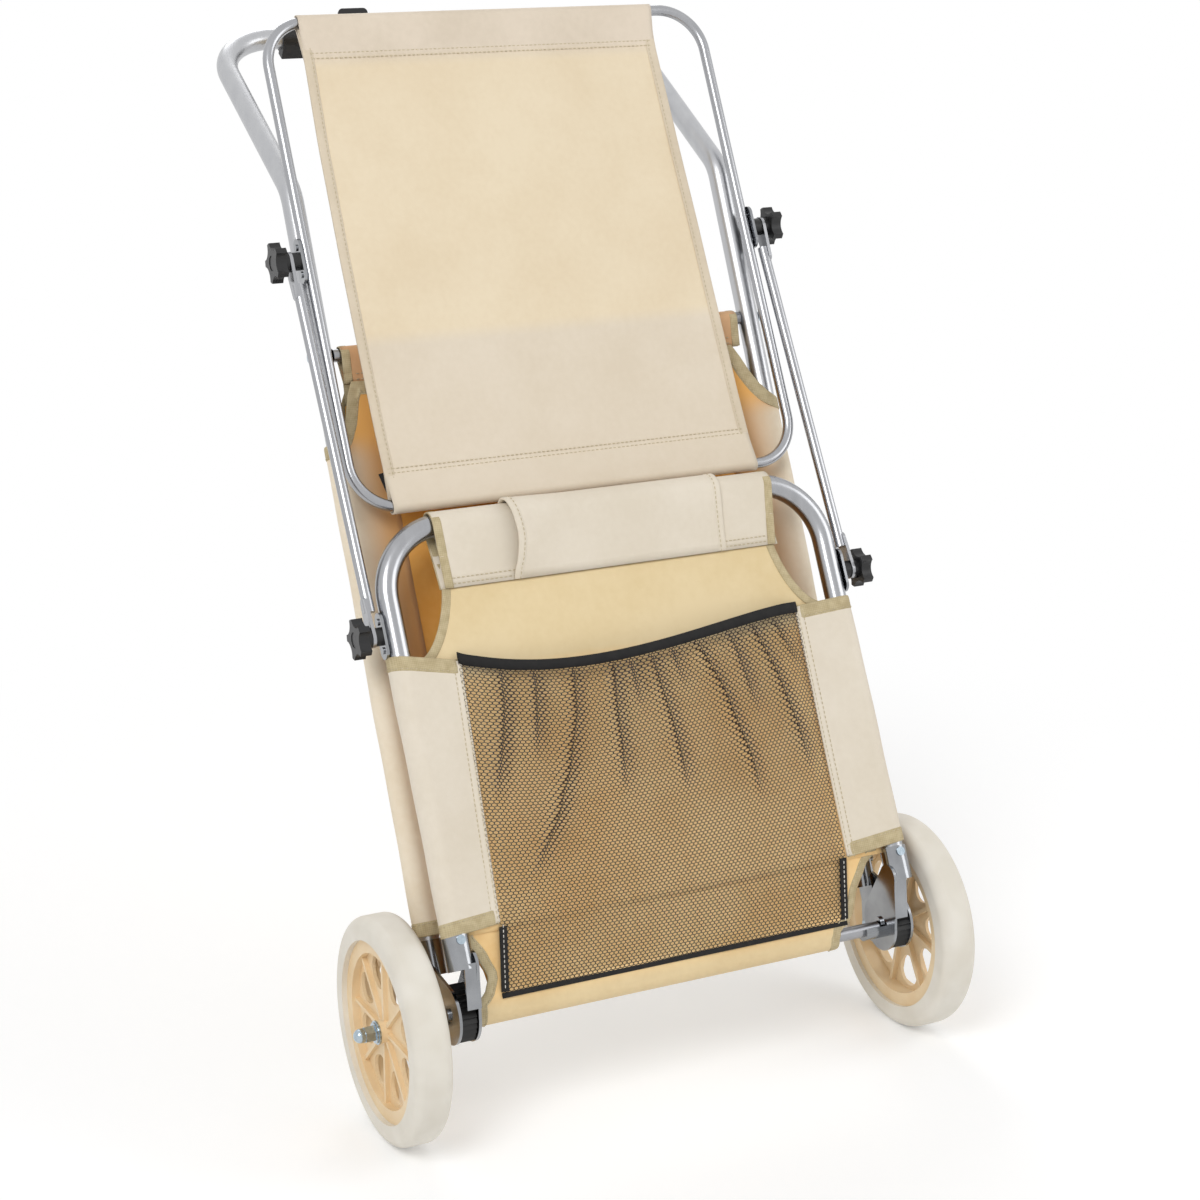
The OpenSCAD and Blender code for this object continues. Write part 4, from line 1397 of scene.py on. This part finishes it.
@dataclass
class FrontPanel(SewnPanel):
    """The back rest's cloth, which also wraps the bottom cross tube."""

    # (half width, height) at the sleeves' inner and outer corners, left then right
    tops: tuple[Slant, ...] = ((163, 293, 230, 304), (171, 296, 230, 298))
    lows: tuple[Slant, ...] = ((175.5, 67, 236, 62), (168, 64, 220, 69))
    # half width at heights from the hinge axis, under the sleeves
    foot_left: Corners = (
        (-20, 201), (4, 200), (12, 192), (24, 188), (40, 195), (58, 207), (70, 208))
    foot_right: Corners = (
        (-20, 153), (0, 155), (8, 166), (14, 170), (30, 174), (54, 186), (70, 204))
    foot_r: float = 10.7
    foot_z: float = -4.0
    foot_wrap: float = 205.0      # degrees that the cloth runs round the cross tube
    foot_steps: int = 22          # of the section above the tube

    def seam(self, sign: int, t: float) -> float:
        """Half width at which a sleeve is sewn; the left one runs at a slight slant."""
        return 175.5 - 12.5 * t if sign < 0 else 168.0 + 3.0 * t

    def top_edge(self, x: float, sign: int) -> float:
        """Height of a sleeve's top edge at a half width."""
        return slant_height(self.tops[side_of(sign)], x)

    def low_edge(self, x: float, sign: int) -> float:
        """Height of a sleeve's bottom edge at a half width."""
        return slant_height(self.lows[side_of(sign)], x)

    def foot_section(self) -> list[tuple[float, float]]:
        """(y, z) section from the bend down to, round and behind the bottom cross tube.

        Returns:
            The section's places, the last behind the tube.
        """
        start = Vector((self.plane, self.sleeve[0] + 1))
        made = []
        axis = Vector((0.0, self.foot_z))
        reach = (start - axis).length
        lean = math.atan2(start.x, start.y - self.foot_z)
        lay = math.acos(self.foot_r / reach)
        first = axis + self.foot_r * Vector((math.sin(lean - lay), math.cos(lean - lay)))
        for t in spread(0, 1, self.foot_steps)[:-1]:
            slack = 1.25 * math.sin(math.pi * t)
            made.append(tuple(start.lerp(first, t) + Vector((slack, 0))))
        for turn in spread(lean - lay, lean - lay - math.radians(self.foot_wrap), 18):
            made.append((self.foot_r * math.sin(turn), self.foot_z + self.foot_r * math.cos(turn)))
        return made

    def build(self) -> list[bpy.types.Object]:
        """Builds the panel and the cloth round its foot.

        Returns:
            The sewn panel's pieces and the foot's cloth.
        """
        pieces = super().build()
        section = self.foot_section()
        above = [i < self.foot_steps for i in range(len(section))]
        halves = [tuple(table(side, z if free else self.foot_left[0][0], 1)
                        for side in (self.foot_left, self.foot_right))
                  for (_, z), free in zip(section, above)]
        foot = Bundle()
        foot.grid([[self.leaning.at(x, y + 0.4 * math.sin(x / 37) * free, z)
                    for x in spread(-left, right, 56)]
                   for (y, z), (left, right), free in zip(section, halves, above)])
        piece = thicken(foot.make("front_foot_cloth", FOOT_CLOTH, self.body), 0.9)
        self.trim_foot(section, halves)
        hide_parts("front_panel")
        return [*pieces, piece]

    def trim_foot(self, section: Corners, halves: Corners) -> None:
        """Binds and sews the two edges of the cloth round the foot.

        Args:
            section: The cloth's (y, z) section.
            halves: Its left and right half width at each place of the section.
        """
        binder, needle = Binder(8.0), Needle()
        for sign in (-1, 1):
            path = []
            for i, (y, z) in enumerate(section):
                (ya, za), (yb, zb) = beside(section, i)
                before, after = beside([half[side_of(sign)] for half in halves], i)
                normal = self.leaning.turn(0, zb - za, ya - yb).normalized()
                way = self.leaning.turn(sign * (after - before), yb - ya, zb - za)
                into = normal.cross(way).normalized()
                if into.x * sign > 0:
                    into = -into
                edge = self.leaning.at(sign * halves[i][side_of(sign)], y, z)
                path.append((edge, normal, into))
            binder.bind(path)
            needle.run(path, 1.1, 6.4)
        binder.bundle.make("front_foot_bindings", TAPE, self.body)
        needle.finish("front_foot_stitches", THREAD, self.body)


@dataclass
class RearPanel(SewnPanel):
    """The seat's cloth, whose lower end runs forward to the bottom cross tube."""

    foot: tuple[float, float] = (14.0, 2.0)      # (y, z) of its lower edge
    foot_half: float = 176.0
    bend_half: float = 196.0     # half width where the lower end starts
    cut_low: float = 503.7       # height of the cut-outs' outer end

    def cut_end(self) -> float:
        """The cut-outs run out over the sleeves to their outer edge."""
        return self.tube_x + self.tube_r + self.ease

    def cut_foot(self) -> float:
        """Height at which the cut-outs end, at the sleeves' sides."""
        return self.cut_low

    def top_edge(self, x: float, sign: int) -> float:
        """Height of a sleeve's top edge, which carries on the cut-out's curve."""
        start, end = self.cut_start[side_of(sign)], self.cut_end()
        return self.cut_height(math.acos(within(1 - (x - start) / (end - start))), sign)

    def cut_path(self, sign: int) -> list[Station]:
        """The cut-outs are bound as the sleeves' ends are; here only their start is."""
        return super().cut_path(sign)[:5]

    def build(self) -> list[bpy.types.Object]:
        """Builds the panel and its lower end.

        Returns:
            The sewn panel's pieces and the foot's cloth.
        """
        pieces = super().build()
        foot, rows = Bundle(), []
        start_y, start_z = self.plane, self.sleeve[0] - 3
        for t in spread(0, 1, 16):
            y = start_y + (self.foot[0] - start_y) * t
            z = start_z + (self.foot[1] - start_z) * t
            half = self.bend_half - (self.bend_half - self.foot_half) * smooth(0, 0.6, t)
            rows.append([self.leaning.at(x, y + 1.2 * math.sin(math.pi * t), z)
                         for x in spread(-half, half, 40)])
        foot.grid(list(reversed(rows)))
        piece = thicken(foot.make("rear_foot_cloth", self.finish, self.body), 0.9, self.inner)
        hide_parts("rear_panel")
        return [*pieces, piece]


@dataclass
class TopBand:
    """Second band of cloth over the front of the top roll, open at its left end."""

    ends: tuple[float, float] = (-98.0, 113.0)
    radius: float = 14.6
    drop: float = 57.0
    proud: float = 6.5           # how far the open end stands off the roll
    fold: Corners = ((-0.6, -0.9), (-0.6, 0.5), (0.2, 1.0), (6.6, 0.9), (7.2, 0.2), (7.2, -0.9))

    def section(self) -> list[tuple[float, float]]:
        """The band's section, from its seam up over the front and top of the roll.

        Returns:
            (forward, out) pairs, as loop_round gives them.
        """
        whole = loop_round(self.radius, self.drop, 3.4, 26)
        return [(f, o) for f, o in whole
                if (f > -2 or o > 0) and (f >= 0 or o >= self.radius * 0.1)]

    def place(self, panel: FrontPanel, x: float, f: float, o: float) -> Vector:
        """A place on the band, which stands off the roll towards its open end.

        Args:
            panel: The front panel that it is sewn to.
            x: Place along the roll.
            f: Distance forward of the panel's plane.
            o: Height over the top bar's axis.

        Returns:
            The place in the row frame.
        """
        left = self.ends[0]
        bow = 7.0 * bell(o, -22, 24) * (1 - smooth(left, left + 26, x))
        proud = self.proud * (1 - smooth(left, left + 70, x))
        rise = smooth(-self.drop, -self.drop + 16, o)
        return panel.point(x + bow, f + proud * rise + 1.2, panel.bar_z + o)

    def build(self, panel: FrontPanel) -> bpy.types.Object:
        """Builds the band, its folded edges and its stitching.

        Args:
            panel: The front panel that it is sewn to.

        Returns:
            The band.
        """
        section, (low, high) = self.section(), self.ends
        band, needle, fold = Bundle(), Needle(), Bundle()
        band.grid([[self.place(panel, x, f, o) for x in spread(low, high, 44)]
                   for f, o in section])
        piece = thicken(band.make("front_band", SLEEVE_CLOTH, panel.body), 1.0)
        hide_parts("top_band")
        for x, inward in ((low, 1), (high, -1)):
            path = []
            for i, (f, o) in enumerate(section):
                a, b = beside(section, i)
                up = 1 if o > 0 else -1
                n = panel.leaning.turn(0, -abs(b[1] - a[1]) - 1e-3, (a[0] - b[0]) * up)
                path.append((self.place(panel, x, f, o), n.normalized(), Vector((inward, 0, 0))))
            fold.trim(path, self.fold)
            needle.run(path, 1.0, 5.0)
        fold.make("front_band_folds", SLEEVE_CLOTH, panel.body)
        needle.finish("front_band_stitches", THREAD, panel.body)
        return piece


# ---- mesh pocket ---------------------------------------------------------------------------

@dataclass
class MeshPocket:
    """Netting pocket, gathered onto an elastic at its mouth."""

    top_z: float = 296.0
    sag: float = 21.0
    left: tuple[float, float] = (-165.0, -178.0)       # x at the mouth and at the bottom
    right: tuple[float, float] = (171.0, 163.0)
    bottom_z: float = 5.0
    panel_y: float = -32.0       # plane of the cloth that it is sewn to
    bend: float = 66.0           # height below which that cloth runs back to the foot
    cell: float = 4.3            # pitch of the net's holes along a row
    course: float = 2.65         # pitch of its rows
    yarn: float = 0.21           # share of a cell's radius that is yarn
    body: str = "back_frame"
    # how the net hangs: each crease as (height, x) from its lower end up, and its depth
    creases: tuple[tuple[Corners, float], ...] = (
        (((168, -156), (253, -135), (290, -131)), 4.5),
        (((197, -115), (266, -104), (280, -102)), 4.5),
        (((97, -143), (108, -132), (157, -104), (188, -89), (234, -73), (282, -66)), 7.0),
        (((154, -43), (216, -37), (276, -29)), 6.0),
        (((144, 16), (203, 14), (275, 8)), 6.0),
        (((128, 88), (156, 85), (222, 73), (285, 53)), 7.0),
        (((146, 147), (179, 142), (231, 132), (290, 114)), 6.0),
        (((240, 160), (281, 142), (294, 134)), 4.5),
        (((225, -10), (262, -12), (280, -13)), 3.0),
        (((236, 36), (270, 31), (285, 29)), 3.0),
        (((205, 104), (255, 96), (290, 88)), 3.5))

    def mouth(self, u: float) -> float:
        """How far the mouth sags below a straight line; it hangs lowest at u = 0.36."""
        return self.sag * (max(u, 0) ** 0.9 * max(1 - u, 0) ** 1.6) / (0.36 ** 0.9 * 0.64 ** 1.6)

    def forward(self, u: float, v: float) -> float:
        """How far the net stands off the panel.

        Args:
            u: Place across the net, 0 at its left edge and 1 at its right edge.
            v: Place down the net, 0 at the mouth and 1 at the bottom.

        Returns:
            The distance.
        """
        fill = math.sin(math.pi * within(u)) ** 0.6
        belly = 13.0 * fill * (1 - smooth(0.45, 1.0, v)) ** 0.8
        belly += 5.0 * math.sin(math.pi * u) * math.sin(math.pi * min(v * 0.9, 1))
        gathers = 0.7 * math.sin(300 * u) * smooth(0, 0.02, v) * (1 - smooth(0.03, 0.16, v))
        edge = smooth(0, 0.05, u) * smooth(0, 0.05, 1 - u)
        return 1.8 + (belly + gathers) * edge * (1 - smooth(0.93, 1.0, v))

    def crease(self, x: float, z: float, v: float) -> tuple[float, float, float]:
        """What the creases do to a place of the net.

        Args:
            x: Place across the net.
            z: Its height.
            v: Its place down the net, 0 at the mouth and 1 at the bottom.

        Returns:
            How far it stands off, how far the yarn is drawn sideways and how much doubled.
        """
        off, pull, doubled = 0.0, 0.0, 0.0
        for path, depth in self.creases:
            away = x - table(path, z, 1)
            if abs(away) > 22:
                continue
            lower_end = path[0][0]
            free = smooth(lower_end - 6, lower_end + 45, z) * smooth(0.0, 0.05, v)
            off += depth * bell(away, 0, 4.5) * free
            pull -= 0.72 * away * bell(away, 0, 7.0) * free
            doubled += (0.42 * bell(away, 0, 2.6) + 0.13 * bell(away, 6, 6)) * free
        return off, pull, min(doubled, 0.6)

    def flat_place(self, u: float, v: float) -> tuple[float, float]:
        """A place on the net before it creases.

        Args:
            u: Place across the net.
            v: Place down the net.

        Returns:
            Its x and its height over the hinge axis.
        """
        top, low = self.top_z - self.mouth(u), self.bottom_z
        x0 = self.left[0] + (self.left[1] - self.left[0]) * v
        x1 = self.right[0] + (self.right[1] - self.right[0]) * v
        return x0 + (x1 - x0) * u, top + (low - top) * v

    def place(self, u: float, v: float, lift: float = 0.0) -> Vector:
        """A place on the creased net, or just before it.

        Args:
            u: Place across the net.
            v: Place down the net.
            lift: How far before the net the place lies.

        Returns:
            The place in the row frame.
        """
        x, z = self.flat_place(u, v)
        y = self.panel_y if z > self.bend else self.panel_y + (self.bend - z) * 0.35
        off, pull, _ = self.crease(x, z, v)
        return BACK.at(x + pull, y - 1.4 - self.forward(u, v) - off - lift, z)

    def net(self) -> Bundle:
        """The net: a honeycomb of yarn with one hole in each cell.

        Returns:
            Its mesh, still to be made.
        """
        made = Bundle()
        wide, tall = self.right[0] - self.left[0], self.top_z - self.bottom_z
        columns, rows = int(wide / self.cell), int(tall / self.course)
        ru, rv = 1 / columns / math.sqrt(3), 1 / rows / 1.5
        turns = [math.radians(60 * k + 30) for k in range(6)]
        corners = [(math.cos(turn), math.sin(turn)) for turn in turns]
        index: dict[tuple[int, int], int] = {}      # the vertices that cells share
        for row in range(rows + 1):
            for column in range(columns):
                cu, cv = (column + 0.5 + 0.5 * (row % 2)) / columns, row / rows
                outer = [self.shared(made, index, within(cu + a * ru), within(cv + b * rv))
                         for a, b in corners]
                hole = 1 - self.yarn - self.crease(*self.flat_place(cu, cv), cv)[2]
                first = len(made.points)
                made.points += [self.place(within(cu + a * ru * hole), within(cv + b * rv * hole))
                                for a, b in corners]
                for k in range(6):
                    after = (k + 1) % 6
                    made.faces.append((outer[k], outer[after], first + after, first + k))
        return made

    def shared(self, made: Bundle, index: dict[tuple[int, int], int], u: float, v: float) -> int:
        """The number of the vertex at a corner between cells.

        Args:
            made: The net so far; a new vertex is added to it.
            index: The numbers of its corners, by their place in ninety-thousandths.
            u: Place across the net.
            v: Place down the net.

        Returns:
            The vertex's number.
        """
        key = (round(u * 90000), round(v * 90000))
        if key not in index:
            index[key] = len(made.points)
            made.points.append(self.place(u, v))
        return index[key]

    def build(self) -> None:
        """Builds the net, its elastic, binding and stitching."""
        net = self.net().make("pocket_net", NETTING, self.body)
        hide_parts("mesh_pocket")
        elastic, rings = Bundle(), []
        for u in spread(0, 1, 90):
            p, q = self.place(u, -0.016), self.place(u, 0.018)
            n = BACK.turn(0, -1, 0) * MM
            rings.append([p - n * 0.9, p + n * 0.9, p.lerp(q, 0.5) + n * 1.5,
                          q + n * 0.9, q - n * 0.9])
        elastic.sweep(rings)
        band = elastic.make("pocket_elastic", ELASTIC, self.body)
        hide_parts("pocket_band")
        self.trim()

    def trim(self) -> None:
        """Binds the sides and the bottom, and sews the sides."""
        binder, low_binder, needle = Binder(6.0), Binder(3.4, 0.7), Needle()
        normal, up = BACK.turn(0, -1, 0), BACK.turn(0, 0, 1)
        for u, heights, into in ((0, (0.80, 0.985), 1), (1, (0.985, 0.80), -1)):
            path = [(self.place(u, v, 0.5), normal, Vector((into, 0, 0)))
                    for v in spread(*heights, 14)]
            binder.bind(path)
            needle.run(path, 1.1, 2.4)
        low_binder.bind([(self.place(u, 1.0, 0.5), normal, up) for u in spread(0.0, 1.0, 60)])
        binder.bundle.make("pocket_side_bindings", POCKET_TAPE, self.body)
        low_binder.bundle.make("pocket_low_binding", POCKET_TAPE, self.body)
        needle.finish("pocket_stitches", WHITE_THREAD, self.body)


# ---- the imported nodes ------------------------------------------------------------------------

def both(*stems: str) -> tuple[str, ...]:
    """The names of the left and right node of each stem."""
    return tuple(f"{stem}_{side}" for stem in stems for side in ("left", "right"))


@dataclass(frozen=True)
class Dress:
    """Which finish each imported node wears."""

    worn: tuple[tuple[Finish, tuple[str, ...]], ...] = (
        (TUBE_SEAT, ("handle_tube",)),
        (TUBE_BACK, ("back_tube", *both("strut"), "canopy_tube")),
        (BAR, ("rear_cross_tube", "bottom_cross_tube")),
        (CHROME, (*both("rear_hinge", "front_hinge", "lower_bracket", "upper_bracket",
                        "hinge_rivet"),
                  "lower_rivets", "upper_rivets", "lower_bolts", "upper_bolts")),
        (ZINC, (*both("axle_bolt", "axle_washers", "acorn_nut"),
                "cross_tube_screws", "rear_hinge_screws", "front_hinge_screws")),
        (KNOB, both("knob_lower", "knob_upper")),
        (BLACK, (*both("ratchet_disc", "axle_spacer"),
                 "handle_feet", "canopy_clip", "lower_spacers", "upper_spacers")),
        (HUB, both("hub")),
        (TYRE, both("tyre")),
    )

    def apply(self) -> None:
        """Puts the finishes on the nodes."""
        for finish, names in self.worn:
            for name in names:
                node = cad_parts[name]
                node.data.materials.clear()
                node.data.materials.append(FINISHES.of(finish))
                LOG.info("%s wears %s", name, finish.name)


# ---- studio ------------------------------------------------------------------------------------

@dataclass(frozen=True)
class Lamp:
    """One soft studio light."""

    name: str
    place: Point
    aim: Point
    size: float
    power: float

    def make(self) -> None:
        """Adds the light."""
        data = bpy.data.lights.new(self.name, "AREA")
        data.shape = "DISK"
        data.size, data.energy = self.size, self.power
        lamp = bpy.data.objects.new(self.name, data)
        lamp.location = self.place
        lamp.rotation_mode = "QUATERNION"
        lamp.rotation_quaternion = (Vector(self.aim) - Vector(self.place)).to_track_quat("-Z", "Y")
        bpy.context.scene.collection.objects.link(lamp)


@dataclass(frozen=True)
class Studio:
    """Pale floor, white surroundings and soft lamps."""

    surround: float = 0.58       # strength of the white surroundings on the cart
    glow: float = 0.16           # light that the floor gives of itself
    fade: tuple[float, float] = (0.45, 1.15)     # metres over which the floor runs into white
    floor_half: float = 12.0
    lamps: tuple[Lamp, ...] = (
        Lamp("key", (-1.9, -1.9, 2.6), (0.0, 0.0, 0.45), 1.6, 40.0),
        Lamp("fill", (2.2, -1.4, 1.5), (0.0, 0.0, 0.45), 1.8, 15.0),
        Lamp("back", (0.6, 2.4, 2.2), (0.0, 0.0, 0.6), 1.8, 17.0),
    )

    def seen(self, tree: bpy.types.NodeTree) -> Socket:
        """1 for what the camera sees directly, in metal or through glass."""
        rays = add_node(tree, "ShaderNodeLightPath").outputs
        first = calculate(tree, "MAXIMUM", rays["Is Camera Ray"], rays["Is Glossy Ray"])
        return calculate(tree, "MAXIMUM", first, rays["Is Transmission Ray"])

    def make(self) -> None:
        """Sets the view, the surroundings, the floor and the lamps."""
        scene = bpy.context.scene
        scene.view_settings.view_transform = "Standard"
        world = bpy.data.worlds.new("studio")
        scene.world = world
        world.use_nodes = True
        tree = world.node_tree
        tree.nodes.clear()
        level = add_node(tree, "ShaderNodeMapRange", {"To Min": self.surround, "To Max": 1.0},
                         {"Value": self.seen(tree)})
        sky = add_node(tree, "ShaderNodeBackground", {"Color": linear("#ffffff")},
                       {"Strength": level.outputs[0]})
        add_node(tree, "ShaderNodeOutputWorld", links={"Surface": sky.outputs[0]})
        self.floor()
        for lamp in self.lamps:
            lamp.make()

    def floor(self) -> None:
        """Adds the floor, which keeps the soft shadow."""
        material = bpy.data.materials.new("pale_studio_floor")
        material.use_nodes = True
        tree = material.node_tree
        tree.nodes.clear()
        matt = add_node(tree, "ShaderNodeBsdfDiffuse", {"Color": linear("#f7f7f7")})
        glow = add_node(tree, "ShaderNodeEmission",
                        {"Color": linear("#ffffff"), "Strength": self.glow})
        near = add_node(tree, "ShaderNodeAddShader", links={0: matt.outputs[0], 1: glow.outputs[0]})
        # Far from the cart the floor runs into the white backdrop; near it, it keeps the shadow.
        place = add_node(tree, "ShaderNodeTexCoord")
        away = add_node(tree, "ShaderNodeVectorMath", links={0: place.outputs["Object"]},
                        operation="LENGTH")
        start, end = self.fade
        far = add_node(tree, "ShaderNodeMapRange", {"From Min": start, "From Max": end},
                       {"Value": away.outputs["Value"]}, interpolation_type="SMOOTHSTEP")
        white = add_node(tree, "ShaderNodeEmission", {"Color": linear("#ffffff"), "Strength": 1.0})
        shown = add_node(tree, "ShaderNodeMixShader",
                         links={0: far.outputs[0], 1: near.outputs[0], 2: white.outputs[0]})
        pick = add_node(tree, "ShaderNodeMixShader",
                        links={0: self.seen(tree), 1: matt.outputs[0], 2: shown.outputs[0]})
        add_node(tree, "ShaderNodeOutputMaterial", links={"Surface": pick.outputs[0]})
        mesh, half = bpy.data.meshes.new("floor"), self.floor_half
        mesh.from_pydata([(-half, -half, 0), (half, -half, 0), (half, half, 0), (-half, half, 0)],
                         [], [(0, 1, 2, 3)])
        mesh.materials.append(material)
        floor = bpy.data.objects.new("floor", mesh)
        bpy.context.scene.collection.objects.link(floor)


# ---- what the looks leave behind -----------------------------------------------------------------

Spot = tuple[tuple[float, float], Vector]     # the pixel at which a vertex shows, its place
HIDING = 2 * MM        # a surface this far before a vertex hides it


def furthest(spots: Sequence[Spot], whole: BVHTree,
             way: tuple[float, float]) -> tuple[float, float] | None:
    """The pixel of the vertex that shows and lies furthest in a direction.

    Args:
        spots: Pixel and place of each vertex.
        whole: The ray-casting tree of all pieces, which may hide a vertex.
        way: The direction, right and down.

    Returns:
        Its x and y in the photograph's frame, or None where none shows.
    """
    eye = Vector(EYE.place)
    for pixel, at in sorted(spots, key=lambda spot: -way[0] * spot[0][0] - way[1] * spot[0][1]):
        hit = whole.ray_cast(eye, (at - eye).normalized())[3]
        if hit is None or hit > (at - eye).length - HIDING:
            return pixel
    return None


def shown_at(mark: Mark, pieces: Sequence[bpy.types.Object],
             whole: BVHTree) -> tuple[float, float] | None:
    """Where a mark's part of the finished pieces shows.

    Args:
        mark: What the image point names.
        pieces: All visible pieces.
        whole: The ray-casting tree of all of them.

    Returns:
        Its x and y in the photograph's frame, or None where nothing of it shows.
    """
    graph, spots = bpy.context.evaluated_depsgraph_get(), []
    for piece in pieces:
        if piece.name.startswith(mark.pieces):
            seen = piece.evaluated_get(graph)
            mesh = seen.to_mesh()
            places = [seen.matrix_world @ v.co for v in mesh.vertices]
            spots += [(EYE.pixel(at), at) for at in places]
            seen.to_mesh_clear()
    if mark.way != (0.0, 0.0):
        return furthest(spots, whole, mark.way)
    ends = [furthest(spots, whole, way) for way in ((-1, 0), (1, 0), (0, -1), (0, 1))]
    if None in ends:
        return None
    return (ends[0][0] + ends[1][0]) / 2, (ends[2][1] + ends[3][1]) / 2


def write_points() -> None:
    """Writes how far each thing shows from its image point, right and down."""
    pieces = [o for o in bpy.context.scene.objects
              if o.type == "MESH" and not o.hide_render and o.name != "floor"]
    whole, found = tree_of(*pieces), {}
    for name, mark in MARKS.items():
        at, point = shown_at(mark, pieces, whole), IMAGE_POINTS[name]
        found[name] = None if at is None else {
            axis: round(at[i] - point[i], 1) for i, axis in enumerate("xy") if mark.measured()[i]}
        LOG.info("point %s: %s", name, found[name])


def main() -> None:
    """Builds every piece in order."""
    logging.basicConfig(level=logging.INFO, format="%(message)s")
    EYE.make()
    Dress().apply()
    front = FrontPanel(
        "front", BACK, "back_frame", plane=-32.0, sleeve=(64.0, 298.0), bar_z=414.0, bar_r=11.6,
        hem=57.0, roll_half=(166.0, 168.0), finish=BACK_CLOTH, sleeve_finish=SLEEVE_CLOTH,
        roll_finish=SLEEVE_CLOTH, inner=None, load_side=-1, crease=0.8,
        cut_start=(165.0, 163.0), cut_power=(1.5, 1.5))
    front.build()
    rear = RearPanel(
        "rear", SEAT, "handle_frame", plane=37.0, sleeve=(69.0, 501.0), bar_z=586.0, bar_r=7.2,
        hem=27.0, roll_half=(199.0, 199.0), finish=SEAT_INNER, sleeve_finish=SEAT_SLEEVE,
        roll_finish=SEAT_ROLL, inner=SEAT_CLOTH, load_side=1, crease=1.0,
        cut_start=(199.5, 190.7), cut_power=(1.25, 1.9), taper=0.0)
    rear.build()
    TopBand().build(front)
    MeshPocket().build()
    canopy = Canopy()
    canopy.strap(canopy.build())
    Studio().make()
    write_points()


if __name__ == "__main__":
    main()
